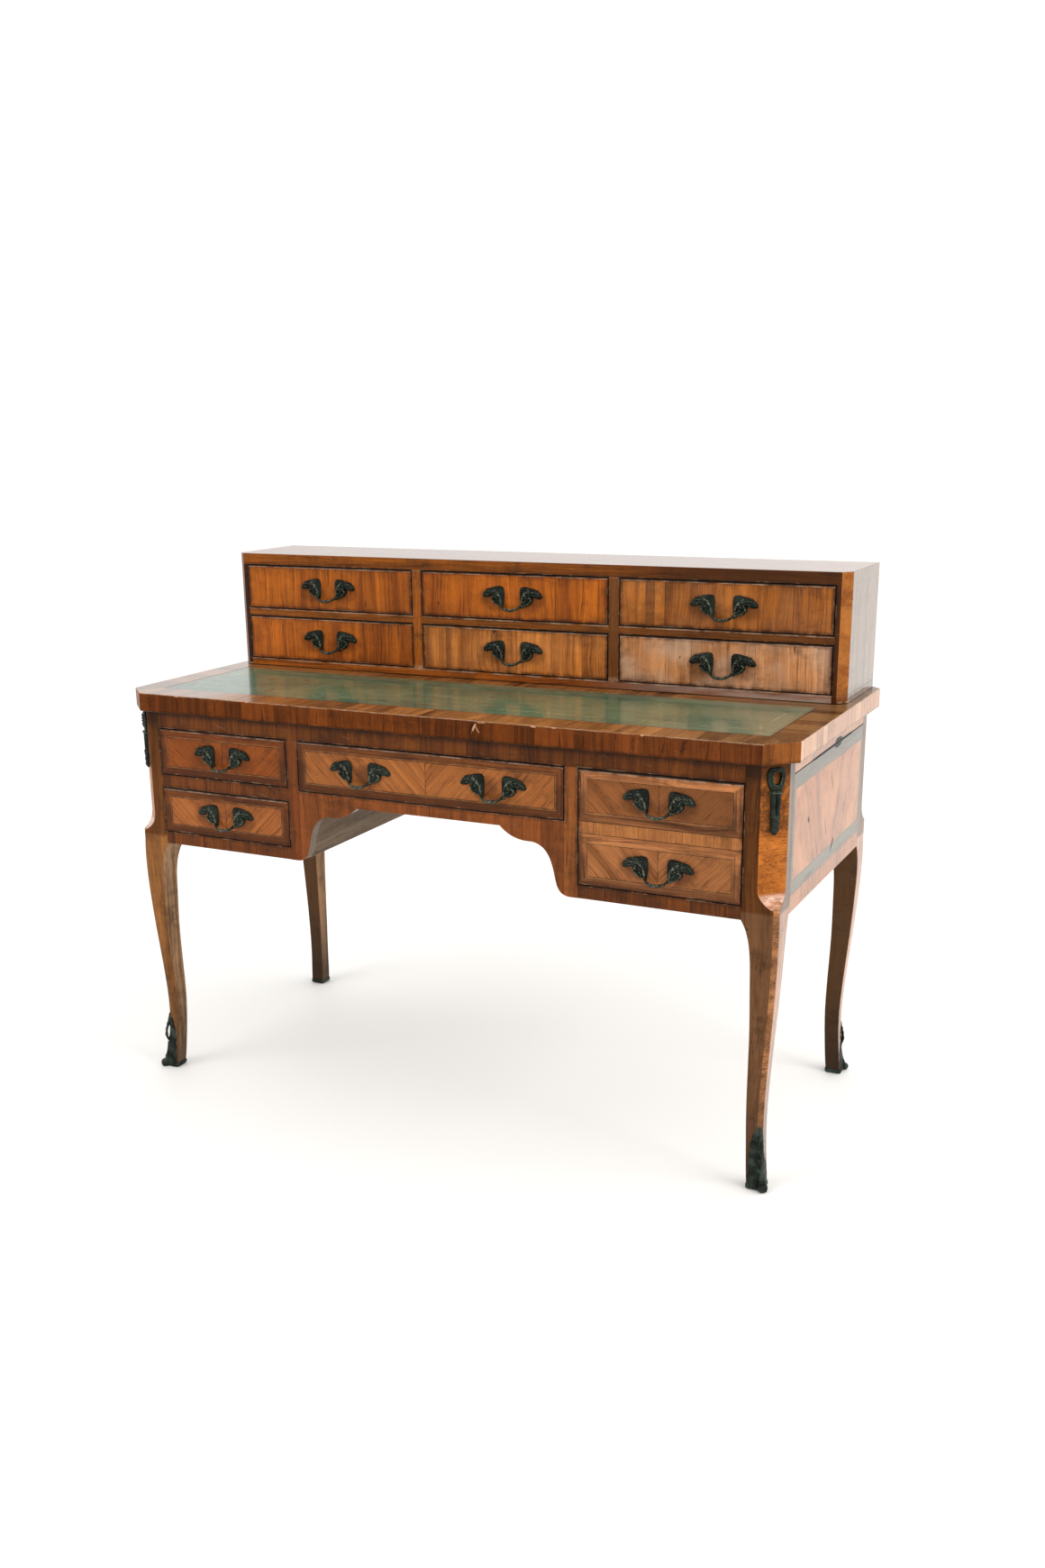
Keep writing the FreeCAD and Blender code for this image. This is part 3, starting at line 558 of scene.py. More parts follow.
wood = use(GRAIN, Place=choose(on_top, edge_place, top_place), Light=light, Dark=dark, Leaf=0.036,
           Tone=0.5, Streaks=1.1, Seam=0.5, Veins=on_side * -0.35 + 0.6, Cracks=0.3, Seed=3.0)
colour = aged(place, wood["Color"], 1.0, smut=on_side * -0.25 + 0.45, specks=0.6, scratches=0.25)
on_front = ramp(face_y, 0.4, 0.6) * (y < 0.0)
colour = blend(spots_mask(place, BRUISES) * on_front * 0.5, colour, NEAR_BLACK)
top_arris = larger(SLAB_HIGH.z - z, smaller(from_side, from_front))
colour = blend(edge_wear(place, top_arris, 0.002, 1.4) * 0.5, colour, RUBBED)
colour = blend(edge_wear(place, z - SLAB_LOW.z, 0.005, 0.9) * 0.6, colour, NEAR_BLACK)
chips = spots_mask(place, CHIPS) * on_front
colour = blend(chips * 0.9, colour, (0.5, 0.26, 0.15, 1))
wood["Gloss"] = chips * 0.4 + wood["Gloss"]
wood["Relief"] = chips * -1.5 + wood["Relief"]
coloured(shader, colour, wood)
waxed_end = ramp(x, -0.4, -0.47) * 0.5 + 0.43
coat = on_top * waxed_end + 0.02
feed(shader.inputs["Coat Weight"], on_side * 0.78 + coat)
soften(0.0009, "desktop")

# ------------------------------------------------------------------ cabinet
# Boards of solid wood, veneered outside and on their front edges. The top lies on the
# sides; the sides' front corners are canted and carry a strip of cross grain. Partitions and
# shelves are housed between them, with black gaps and wear where they meet.
CAB_LOW, CAB_HIGH = corners("cabinet_top")
CAB_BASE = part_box("cabinet_bottom")[1][2]
SHELF_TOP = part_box("cabinet_shelves")[1][2]
CAB_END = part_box("cabinet_side_right")[0][0]      # inner face of the cabinet's end
CAB_LID = 0.014               # where the partitions end below the cabinet's top
CAB_FLOOR = 0.012             # and above the desk's
ARRIS_HIGHLIGHT = (0.62, 0.43, 0.32, 1)      # painted highlight on an upper arris
DIRTY = 0.008                 # width of the dirt on each side of a drawer's gap
RAGGED = 0.0014               # how far its edge strays
DRAWERS = sorted(body[:-7] for body in frame["bodies"] if body.endswith("_drawer"))


def panel_group():
    """Where a face point lies on a rectangle seen along y: Inset is how far it is inside
    the nearest edge, Side is 1 where that edge is an upright one, which makes mitres."""
    group, given, out = new_group("panel", {
        "Place": ("Vector", None),
        "Middle": ("Vector", (0, 0, 0)),
        "Half": ("Vector", (0.1, 0, 0.1)),
    }, {"Inset": "Float", "Side": "Float", "Fold": "Float", "Rise": "Float"})
    x, _, z = parts(given["Place"])
    middle_x, _, middle_z = parts(given["Middle"])
    half_x, _, half_z = parts(given["Half"])
    fold = abs(x - middle_x)
    rise = z - middle_z
    beside = half_x - fold
    above = half_z - abs(rise)
    feed(out["Inset"], smaller(beside, above))
    feed(out["Side"], beside < above)
    feed(out["Fold"], fold)
    feed(out["Rise"], rise)
    return group


PANEL = panel_group()


def rectangle(place, low, high):
    """Where a point lies on the front that has these corners."""
    return use(PANEL, Place=place, Middle=(low + high) / 2, Half=(high - low) / 2)


def gap_group():
    """How far a point beside the drawers is from the nearest drawer front."""
    group, given, out = new_group("drawer_gap", {"Place": ("Vector", None)}, {"Distance": "Float"})
    insets = [rectangle(given["Place"], *corners(name + "_front"))["Inset"] for name in DRAWERS]
    feed(out["Distance"], larger(*insets) * -1.0)
    return group


GAP = gap_group()


def beside_drawers(place, colour, dirt=0.6):
    """A frame's colour beside each drawer front: black on the arris as painted shadow of the gap, then
    rubbed, then dirty.
    """
    distance = (noise(place, 70.0) - 0.5) * RAGGED + use(GAP, Place=place)["Distance"]
    colour = blend(edge_wear(place, distance, DIRTY, 0.9) * dirt, colour, NEAR_BLACK)
    rubbed = ramp(distance, 0.0032, 0.0024) * ramp(noise(place, 38.0, 4.0, 0.7), 0.52, 0.62)
    colour = blend(rubbed * 0.28, colour, RUBBED)
    # Painted shadow of the gap: black on the arris beside each front.
    gap_shadow = ramp(distance, 0.0021, 0.0016) * ramp(facing(place)[1], 0.4, 0.7)
    return blend(gap_shadow * 0.93, colour, NEAR_BLACK)


def cabinet_end(place):
    """The cabinet's end boards: dark front edges, figured cross grain on the canted corners,
    and plain veneer outside, pale grey partly in its own tone and partly as painted reflection.
    Their colour and their wood."""
    x, y, z = parts(place)
    face_x, face_y, _ = facing(place)
    canted = ramp(face_x, *SLANTING) * ramp(face_y, *SLANTING)
    on_side = ramp(face_x, *SQUARE_ON)
    waves = noise(place, (30.0, 30.0, 10.0), 2.0)
    across_corner = joined(waves * 0.012 + z, x, y - abs(x))
    light = blend(canted, (0.08, 0.024, 0.004, 1), (0.355, 0.128, 0.023, 1))
    # Partly painted reflection: the outside faces are pale grey.
    light = blend(on_side, blend(ramp(x, 0.0, -0.1), light, UMBER), (0.27, 0.2, 0.15, 1))
    dark = blend(canted, (0.03, 0.009, 0.002, 1), (0.2, 0.052, 0.006, 1))
    dark = blend(on_side, dark, (0.13, 0.095, 0.075, 1))
    run = choose(canted, joined(y + x, x, z), across_corner)
    wood = use(GRAIN, Place=run, Light=light, Dark=dark, Leaf=0.11, Tone=0.3, Streaks=1.8, Figure=0.2,
               Seam=0.3, Veins=0.6, Seed=11.0)
    colour = aged(place, wood["Color"], 2.0, smut=0.3)
    foot = z - SLAB_HIGH.z
    colour = blend(edge_wear(place, foot, 0.03, 0.6) * 0.7, colour, UMBER)
    pale = ramp(foot, 0.006, 0.003) * ramp(noise(place, 70.0), 0.42, 0.55)
    return blend(pale * 0.45, colour, RUBBED), wood


def seated(z, colour):
    """A colour with the black joint where the cabinet stands on the desk's top."""
    seat = ramp(z - SLAB_HIGH.z, 0.0022, 0.0012)
    return blend(seat * 0.9, colour, NEAR_BLACK)


shader, place = polished("cabinet_veneer", ["cabinet_side_left", "cabinet_side_right"], 0.05, 1.0, 0.7)
colour, wood = cabinet_end(place)
coloured(shader, beside_drawers(place, seated(parts(place)[2], colour)), wood)

shader, place = polished("cabinet_edge_veneer", ["cabinet_top", "cabinet_bottom", "cabinet_shelves"],
                         0.05, 1.0, 0.8)
x, y, z = parts(place)
face_x, _, face_z = facing(place)
flat = ramp(face_z, *LEVEL)
on_base = z < CAB_BASE + 0.0005
on_lid = z > CAB_LOW.z - 0.0005
lid = blend(ramp(x, 0.0, 0.45), (0.37, 0.1, 0.007, 1), (0.085, 0.026, 0.004, 1))
shelf = blend(ramp(x, -0.2, 0.5), (0.34, 0.095, 0.009, 1), (0.2, 0.062, 0.009, 1))
base = blend(ramp(x, -0.4, 0.2), (0.55, 0.145, 0.013, 1), (0.35, 0.088, 0.01, 1))
light = blend(flat, blend(on_base, blend(on_lid, shelf, lid), base), AMBER)
wood = use(GRAIN, Place=choose(flat, joined(z, y, x), joined(y, z, x)), Light=light, Dark=UMBER, Leaf=0.4,
           Tone=0.3, Streaks=1.4, Figure=0.3, Seam=0.2, Seed=5.0)
colour = aged(place, wood["Color"], 3.0, smut=0.45, scratches=0.5)
# Painted reflection: pale grey blotches on the base towards the right.
painted_reflection = on_base * ramp(x, 0.1, 0.5) * ramp(noise(place, (8.0, 8.0, 60.0), 4.0), 0.25, 0.65)
colour = blend(painted_reflection * 0.62, colour, (0.4, 0.35, 0.3, 1))
# Painted highlight along the upper arrises of the shelves and the base.
upper_arris = smaller(abs(z - SHELF_TOP), abs(z - CAB_BASE))
upper_highlight = ramp(upper_arris, 0.0032, 0.002) * ramp(noise(place, 34.0, 4.0, 0.7), 0.36, 0.62)
colour = blend(upper_highlight * 0.5, colour, ARRIS_HIGHLIGHT)
colour = beside_drawers(place, seated(z, colour), 0.25)
is_end = larger(on_base * (abs(x) > CAB_END), ramp(face_x, 0.3, 0.6)) * (1.0 - flat)
is_end = is_end * larger(on_base, on_lid)
colour = blend(is_end, colour, seated(z, cabinet_end(place)[0]))
coloured(shader, colour, wood)

shader, place = polished("partition_veneer", ["cabinet_partitions"])
x, y, z = parts(place)
light = blend(ramp(x, -0.2, 0.3), (0.44, 0.115, 0.01, 1), (0.22, 0.08, 0.02, 1))
wood = use(GRAIN, Place=joined(x + y, y, z), Light=light, Dark=(0.1, 0.028, 0.004, 1), Leaf=0.3, Tone=0.3,
           Streaks=1.4, Figure=0.3, Seam=0.2, Seed=8.0)
colour = aged(place, wood["Color"], 4.0, smut=0.5)
ends = smaller(CAB_HIGH.z - CAB_LID - z, z - (SLAB_HIGH.z + CAB_FLOOR))
colour = blend(edge_wear(place, ends, 0.012, 1.2) * 0.75, colour, RUBBED)
coloured(shader, beside_drawers(place, colour, 0.4), wood)
soften(0.0007, "cabinet_side_left", "cabinet_side_right", "cabinet_bottom", "cabinet_shelves",
       "cabinet_partitions")

# ------------------------------------------------------------------ cabinet drawer fronts
# Solid fronts faced with upright leaves of one warm veneer. The leaves' joints show as dark
# lines; dirt has gathered along the edges. The gaps are painted black as shadow, deepest below
# the rails, and a painted highlight lies along each top arris.
SMALL_FRONTS = {
    # drawer: light, dark, seed, dirt, painted reflection
    "cabinet_left_top": ((0.54, 0.142, 0.011, 1), (0.20, 0.045, 0.003, 1), 7.7, 0.75, 0.0),
    "cabinet_left_low": ((0.54, 0.138, 0.012, 1), (0.20, 0.045, 0.004, 1), 2.3, 0.7, 0.0),
    "cabinet_middle_top": ((0.57, 0.145, 0.010, 1), (0.20, 0.042, 0.003, 1), 3.1, 0.8, 0.0),
    "cabinet_middle_low": ((0.74, 0.245, 0.042, 1), (0.25, 0.072, 0.010, 1), 4.7, 0.8, 0.04),
    "cabinet_right_top": ((0.48, 0.150, 0.022, 1), (0.17, 0.046, 0.005, 1), 5.2, 0.9, 0.04),
    "cabinet_right_low": ((0.70, 0.310, 0.125, 1), (0.30, 0.110, 0.032, 1), 6.9, 0.8, 0.40),
}
# Splits and knots in these fronts: x, z, half width, half height, slant.
SPLITS = ((-0.045, 0.866, 0.002, 0.006, 0.2), (0.541, 0.865, 0.001, 0.012, 0.0),
          (0.19, 0.93, 0.001, 0.01, 0), (-0.33, 0.905, 0.001, 0.008, 0),
          (0.33, 0.838, 0.0014, 0.004, 0.3), (-0.165, 0.915, 0.0018, 0.003, 0))
PATCH_X = 0.271               # a darker leaf let into the upper right drawer
PATCH_HALF = 0.009
MARGIN = 0.03                 # width of a front's dirty margin
LINE_IN = 0.003               # a dark line lies this far inside the front's edge


def front_rim(place, colour, inset, under, dirt, front, shadow_depth=0.0021, wax=0.42):
    """A drawer front's colour: a dirty margin and a dark line inside its edge, a broken rubbed strip,
    a painted highlight along its top arris, and painted shadow of the gap, black on its edge and
    deeper under its top one. Under is the depth below its top edge. Its edges and back are bare
    brown wood, but for a few millimetres behind the face, which keep the painted shadow; front is
    the y of its face."""
    colour = blend(edge_wear(place, inset, DIRTY, 0.9) * dirt, colour, UMBER)
    colour = blend(edge_wear(place, inset, MARGIN, 1.3) * 0.28, colour, UMBER)
    line = ramp(abs(inset - LINE_IN), 0.0006, 0.0002) * ramp(noise(place, 45.0), 0.42, 0.58)
    colour = blend(line * 0.7, colour, NEAR_BLACK)
    patchy = noise(place, 34.0, 4.0, 0.7)
    rubbed = ramp(inset, 0.0026, 0.0022) * ramp(patchy, 0.54, 0.64)
    # Painted highlight along the top arris.
    top_arris = ramp(under, 0.0042, 0.003) * ramp(patchy, 0.34, 0.64)
    colour = blend(rubbed * 0.25, colour, RUBBED)
    colour = blend(top_arris * wax, colour, ARRIS_HIGHLIGHT)
    ragged = (noise(place, 70.0) - 0.5) * RAGGED
    # Painted shadow of the gap: black on the edge, and deeper under the top edge.
    gap_shadow = larger(ramp(inset + ragged, shadow_depth * 0.67, shadow_depth * 0.43),
                  ramp(under + ragged, shadow_depth + 0.0003, shadow_depth - 0.0003))
    colour = blend(gap_shadow * 0.95, colour, NEAR_BLACK)
    streaky = ramp(noise(place, (9.0, 400.0, 160.0), 3.0, 0.6), 0.38, 0.66)
    bare = blend(streaky, (0.085, 0.043, 0.018, 1), (0.17, 0.095, 0.045, 1))
    behind = parts(place)[1] + ragged - front
    return blend(ramp(behind, 0.0042, 0.0056), colour, bare)


def darkened_round_pull(place, colour, spot, spread):
    """A drawer front's colour darkened round a pull's leaves, whose middles are spread away
    from the front's middle: an ellipse with a ragged edge."""
    across = (spot["Fold"] - spread) / 0.034
    above = (spot["Rise"] + 0.004) / 0.026
    near = noise(place, 60.0, 4.0, 0.65) * 1.2 + (across * across + above * above)
    return blend(ramp(near, 1.7, 0.7) * 0.55, colour, UMBER)


for name, (light, dark, seed, dirt, painted_reflection) in SMALL_FRONTS.items():
    low, high = corners(name + "_front")
    shader, place = polished(name + "_veneer", [name + "_front"])
    x, _, z = parts(place)
    wood = use(GRAIN, Place=place, Light=light, Dark=dark, Leaf=0.058, Tone=0.5, Streaks=2.1, Figure=0.25,
               Seam=0.6, Veins=0.6, Cracks=0.7, Seed=seed)
    colour = wood["Color"]
    if name == "cabinet_right_top":
        patch = ramp(abs(x - PATCH_X), PATCH_HALF + 0.0003, PATCH_HALF)
        colour = blend(patch * 0.55, colour, UMBER)
    spot = rectangle(place, low, high)
    # Painted reflection: pale blotches on the front.
    colour = blend(ramp(noise(place, 14.0, 3.0), 0.3, 0.65) * painted_reflection, colour, (0.6, 0.45, 0.34, 1))
    colour = aged(place, colour, seed, smut=0.38, specks=0.6, scratches=0.2)
    colour = darkened_round_pull(place, colour, spot, 0.04)
    colour = blend(spots_mask(place, SPLITS), colour, NEAR_BLACK)
    colour = front_rim(place, colour, spot["Inset"], high.z - z, dirt, low.y)
    coloured(shader, colour, wood)

# ------------------------------------------------------------------ carcass front
# Rails and stiles of solid wood between the legs. Rails carry upright cross grain in short
# leaves, stiles are veneered along their length, and all are dirty beside the drawers.
shader, place = polished("rail_veneer", ["bottom_rails", "mid_rail_left"])
x, y, z = parts(place)
run = choose(ramp(facing(place)[2], *LEVEL), joined(x + y, y, z), joined(y, z, x))
wood = use(GRAIN, Place=run, Light=(0.165, 0.043, 0.005, 1), Dark=UMBER, Leaf=0.05, Tone=0.5, Streaks=1.7,
           Seam=0.5, Veins=0.7, Cracks=0.8, Seed=21.0)
colour = aged(place, wood["Color"], 5.0, smut=0.5, scratches=0.35)
coloured(shader, beside_drawers(place, colour), wood)

# The top rail is the same, with painted shadow under the slab, black where it meets it.
shader, place = polished("frieze_veneer", ["front_top_rail"], 0.04)
x, y, z = parts(place)
wood = use(GRAIN, Place=joined(x + y, y, z), Light=(0.165, 0.046, 0.006, 1), Dark=UMBER, Leaf=0.05,
           Tone=0.5, Streaks=1.3, Seam=0.5, Veins=0.6, Cracks=0.4, Seed=21.0)
colour = aged(place, wood["Color"], 5.0, smut=0.5, scratches=0.35)
colour = blend(edge_wear(place, SLAB_LOW.z - z, 0.013, 0.5) * 0.8, colour, NEAR_BLACK)
coloured(shader, beside_drawers(place, colour), wood)

shader, place = polished("stile_veneer", ["front_stiles"])
x, y, z = parts(place)
light = blend(ramp(x, -0.1, 0.1), (0.18, 0.042, 0.005, 1), (0.27, 0.082, 0.016, 1))
wood = use(GRAIN, Place=joined(x + y, y, z), Light=light, Dark=(0.09, 0.024, 0.004, 1), Leaf=0.3,
           Tone=0.3, Streaks=1.8, Seam=0.1, Veins=0.7, Seed=25.0)
colour = aged(place, wood["Color"], 6.0, smut=0.5)
coloured(shader, beside_drawers(place, colour), wood)

# The apron below the centre drawer is sawn to a double scoop; its lower edge is left raw.
shader, place = polished("apron_veneer", ["apron"])
wood = use(GRAIN, Place=place, Light=(0.27, 0.072, 0.012, 1), Dark=(0.095, 0.024, 0.004, 1), Leaf=0.13,
           Tone=0.5, Streaks=1.4, Seam=0.3, Seed=31.0)
colour = beside_drawers(place, aged(place, wood["Color"], 7.0, smut=0.5))
raw = 1.0 - ramp(facing(place)[1], 0.6, 0.9)
saw = noise(place, (60.0, 220.0, 60.0), 4.0, 0.7)
bare = blend(saw, (0.035, 0.024, 0.016, 1), (0.2, 0.135, 0.085, 1))
wood["Gloss"] = raw * 0.4 + wood["Gloss"]
wood["Relief"] = raw * saw * 3.0 + wood["Relief"]
coloured(shader, blend(raw, colour, bare), wood)
soften(0.0008, "front_top_rail", "bottom_rails", "mid_rail_left", "front_stiles", "apron")

# ------------------------------------------------------------------ lower drawer fronts
# Each false panel has a field of slanting leaves that meet in the middle, a light string with
# a dark one inside it, and a dark mitred border. The deep drawer at the right carries two such
# panels, with a band of upright grain between them.
BAND = 0.0145                 # border's width
STRING = 0.0016
DEEP_MIDDLE = 0.605           # middle of the deep drawer's band
DEEP_BAND = 0.0105            # half its height
SLOPE = 0.7071                # the leaves slant by half a right angle


def inlaid(place, spot, middle_x, light, dark, border, seed):
    """A field, strings and border on a rectangle: their colour and their wood. Sun has bleached
    the border above the field."""
    border_top = tuple(min(1.0, 1.75 * part) for part in border)
    x, y, z = parts(place)
    slant = (spot["Fold"] - spot["Rise"]) * SLOPE
    length = (spot["Fold"] + spot["Rise"]) * SLOPE
    field_place = joined(slant, (x > middle_x) * 3.7 + y, length)
    band_place = choose(spot["Side"], joined(z, y, x), joined(x, y, z))
    in_field = spot["Inset"] > BAND + STRING
    border = blend(ramp(spot["Rise"], 0.0, 0.02), border, border_top)
    wood = use(GRAIN, Place=choose(in_field, band_place, field_place),
               Light=blend(in_field, border, light), Dark=blend(in_field, UMBER, dark), Leaf=0.026,
               Tone=0.28, Streaks=1.7, Figure=0.15, Seam=0.3, Veins=0.7, Cracks=0.7, Seed=seed)
    string = abs(spot["Inset"] - BAND) < STRING / 2
    line = abs(spot["Inset"] - (BAND + STRING)) < STRING * 0.3
    middle_seam = (spot["Fold"] < 0.0006) * in_field
    patchy = ramp(noise(place, 60.0, 2.0), 0.38, 0.62)
    colour = blend(string * (patchy * -0.35 + 0.6), wood["Color"], (0.31, 0.155, 0.06, 1))
    line = larger(line, middle_seam) * (patchy * 0.45 + 0.45)
    wood["Relief"] = line * -1.0 + wood["Relief"]
    return blend(line, colour, NEAR_BLACK), wood


LOWER_FRONTS = {
    # drawer: light, dark, border, seed, pull's leaves beside the middle
    "left_upper": ((0.28, 0.068, 0.008, 1), (0.14, 0.032, 0.004, 1), (0.15, 0.037, 0.005, 1), 1.5, 0.04),
    "left_lower": ((0.38, 0.120, 0.028, 1), (0.18, 0.050, 0.010, 1), (0.16, 0.044, 0.007, 1), 2.5, 0.04),
    "centre": ((0.41, 0.138, 0.033, 1), (0.17, 0.050, 0.010, 1), (0.14, 0.042, 0.008, 1), 3.5, 0.115),
}
for name, (light, dark, border, seed, spread) in LOWER_FRONTS.items():
    low, high = corners(name + "_front")
    shader, place = polished(name + "_veneer", [name + "_front"])
    spot = rectangle(place, low, high)
    colour, wood = inlaid(place, spot, (low.x + high.x) / 2, light, dark, border, seed)
    colour = aged(place, colour, seed, smut=0.4, scratches=0.3)
    colour = darkened_round_pull(place, colour, spot, spread)
    under = high.z - parts(place)[2]
    colour = front_rim(place, colour, spot["Inset"], under, 0.6, low.y, shadow_depth=0.0014, wax=0.25)
    coloured(shader, colour, wood)

low, high = corners("right_deep_front")
shader, place = polished("right_deep_veneer", ["right_deep_front"])
x, _, z = parts(place)
is_upper = z > DEEP_MIDDLE
edges = (low.z, DEEP_MIDDLE - DEEP_BAND), (DEEP_MIDDLE + DEEP_BAND, high.z)
middle_x, half_x = (low.x + high.x) / 2, (high.x - low.x) / 2
middle = choose(is_upper, *((middle_x, 0.0, (base + top) / 2) for base, top in edges))
half = choose(is_upper, *((half_x, 0.0, (top - base) / 2) for base, top in edges))
across = ramp(x, middle_x - 0.11, middle_x + 0.09)
light = blend(across, (0.3, 0.102, 0.027, 1), (0.185, 0.066, 0.018, 1))
light = blend(is_upper, blend(across, (0.43, 0.16, 0.052, 1), (0.37, 0.138, 0.044, 1)), light)
spot = use(PANEL, Place=place, Middle=middle, Half=half)
colour, wood = inlaid(place, spot, middle_x, light, (0.16, 0.052, 0.013, 1), (0.33, 0.125, 0.042, 1), 4.5)
colour = darkened_round_pull(place, colour, spot, 0.04)
band = use(GRAIN, Place=place, Light=(0.46, 0.175, 0.052, 1), Dark=(0.21, 0.072, 0.018, 1), Leaf=0.04,
           Tone=0.3, Seam=0.4, Veins=0.8, Seed=9.0)
from_band = DEEP_BAND - abs(z - DEEP_MIDDLE)
colour = blend(from_band > 0.0, colour, band["Color"])
colour = blend((abs(from_band) < 0.0007) * 0.75, colour, NEAR_BLACK)
colour = aged(place, colour, 8.0, smut=0.4, scratches=0.3)
whole = rectangle(place, low, high)
under = (high.z - z) * 0.7
colour = front_rim(place, colour, whole["Inset"], under, 0.65, low.y, shadow_depth=0.0018, wax=0.3)
coloured(shader, colour, wood)

# ------------------------------------------------------------------ side panels
# Each end of the carcass is one veneered board: a frame of plain veneer round a field of two
# mirrored slanting sheets, with dark strings, and a crossbanded strip below. The rail over it
# has shrunk away, which leaves a dark joint with a gouge in its middle.
SIDE_LOW, SIDE_HIGH = corners("side_panel_right")
SIDE_MIDDLE = (0.0038, 0.6)   # y and z on which the mirrored sheets meet
SHEET_SLANT = 0.45
STRIP = 0.030                 # height of the crossbanded strip
SIDE_BANDS = (0.024, 0.0265)  # heights of the plain bands above the strip and at the top
UPRIGHT = 0.011               # width of the upright bands beside the legs
BAND_EDGE = 0.001
JOINT_RISE = 0.0004           # middle of the dark joint above the panel
GOUGE_Y = 0.05
# Splits in the panel: y, z, half width, half height, slant.
SIDE_SPLITS = ((0.038, 0.533, 0.0075, 0.013, 0.9), (-0.125, 0.616, 0.006, 0.007, -0.5),
               (0.064, 0.6, 0.0016, 0.03, 0.4), (-0.012, 0.575, 0.002, 0.02, -0.5),
               (0.105, 0.69, 0.0015, 0.006, 0.4), (0.02, 0.65, 0.0018, 0.022, -0.6))

shader, place = polished("side_panel_veneer", ["side_panel_left", "side_panel_right", "side_top_rails"],
                         0.1, 0.7, 0.5)
x, y, z = parts(place)
fold = abs(y - SIDE_MIDDLE[0])
rise = z - SIDE_MIDDLE[1]
field_place = joined(rise * -SHEET_SLANT + fold, x, fold * SHEET_SLANT + rise)
on_rail = z > SIDE_HIGH.z
strip_top = SIDE_LOW.z + STRIP
crossed = larger(z < strip_top, on_rail)
band_low, band_high = strip_top + SIDE_BANDS[0], SIDE_HIGH.z - SIDE_BANDS[1]
beside_leg = (SIDE_HIGH.y - SIDE_LOW.y) / 2 - fold
wavy = (noise(place, 30.0, 2.0) - 0.5) * 0.004 + z
band = larger(ramp(wavy, band_high - BAND_EDGE, band_high + BAND_EDGE),
              ramp(wavy, band_low + BAND_EDGE, band_low - BAND_EDGE),
              ramp(beside_leg, UPRIGHT + BAND_EDGE, UPRIGHT - BAND_EDGE)) * (1.0 - crossed)
run = choose(crossed, choose(band, field_place, joined(z, x, y)), joined(y, x, z))
light = blend(band, (0.43, 0.155, 0.048, 1), (0.15, 0.128, 0.092, 1))
light = blend(on_rail, light, (0.42, 0.2, 0.105, 1))
dark = blend(band, (0.15, 0.05, 0.016, 1), (0.08, 0.068, 0.05, 1))
dark = blend(on_rail, dark, (0.22, 0.1, 0.06, 1))
wood = use(GRAIN, Place=run, Light=light, Dark=dark, Leaf=0.2, Tone=0.2, Streaks=1.8, Figure=0.2,
           Seam=0.0, Veins=0.9, Cracks=0.6, Seed=41.0)
sheen = ramp(noise(place, (1.0, 9.0, 14.0), 5.0, 0.6), 0.4, 0.68) * (1.0 - band)
colour = blend(sheen * 0.45, wood["Color"], (0.52, 0.235, 0.1, 1))
colour = aged(place, colour, 9.0, smut=0.22, specks=0.5, scratches=0.15)
line = larger(*(abs(wavy - level) < 0.0006 for level in (band_low, band_high, strip_top)))
broken = ramp(noise(place, 40.0, 3.0), 0.42, 0.58)
colour = blend(line * (broken * 0.5 + 0.25), colour, NEAR_BLACK)
right_end = x > 0.0
splits = spots_mask(joined(y, 0.0, z), SIDE_SPLITS) * (right_end * 0.9)
gouge = ramp(abs(y - GOUGE_Y), 0.03, 0.01) * right_end
shrunk = ramp(abs(y - 0.02), 0.15, 0.1) * 0.0014 + 0.001
from_joint = abs(z - (SIDE_HIGH.z + JOINT_RISE)) - (gouge * 0.006 + shrunk)
edge = ramp(beside_leg, 0.0012, 0.0007) * (broken * 0.4 + 0.4)
black = larger(splits, ramp(from_joint, 0.0004, -0.0002), edge)
coloured(shader, blend(black, colour, NEAR_BLACK), wood)
coat = ramp(facing(place)[0], *SQUARE_ON) * 0.6 + 0.1
feed(shader.inputs["Coat Weight"], coat * (black * -0.9 + 1.0))

# ------------------------------------------------------------------ legs
# Each leg and the post above it are one piece of solid wood, sawn to a double curve and
# veneered, with fine cross stripes on the canted face. The carcass is jointed into the posts.
# The legs are darker towards the floor. On the canted faces specks of dirt mix with painted
# shade beside the mounts and painted shadow under the slab, and a painted highlight lies across the knee.
POST_CANT = 0.036             # how far the posts' cant runs in from the corner
POST_FOOT = (0.492, 0.497)    # where the post's straight part begins above the leg
KNEE = 0.510
LEGS = ["leg_" + end + side for end in ("front_", "back_") for side in ("left", "right")]
CHUTE_LOW, CHUTE_HIGH = corners("chute_mounts")
LEG_LOW, LEG_HIGH = corners("leg_front_right")

shader, place = polished("leg_veneer", LEGS, 0.08, 0.9, 0.3, bare=1.14)
x, y, z = parts(place)
face_x, face_y, _ = facing(place)
canted = ramp(face_x, 0.25, 0.5) * ramp(face_y, 0.25, 0.5)
on_post = ramp(z, *POST_FOOT)
striped = canted * on_post
sideways = abs(x)
off_middle = sideways - (LEG_HIGH.x - POST_CANT / 2) - (y - (LEG_LOW.y + POST_CANT / 2))
off_middle = abs(off_middle / math.sqrt(2))
rightwards = ramp(x, -0.3, 0.3)
cross_place = joined(x * 0.12 + z, y, sideways - y)
long_place = joined(y * 0.7 + x, y, z)
side_on = ramp(face_x, *SQUARE_ON)
light = blend(rightwards, (0.32, 0.126, 0.034, 1), (0.19, 0.086, 0.038, 1))
light = blend(on_post, light, (0.155, 0.055, 0.0115, 1))
# Painted shade: the back legs are darker than the front ones.
light = blend(ramp(y, 0.0, 0.1), light, (0.085, 0.045, 0.022, 1))
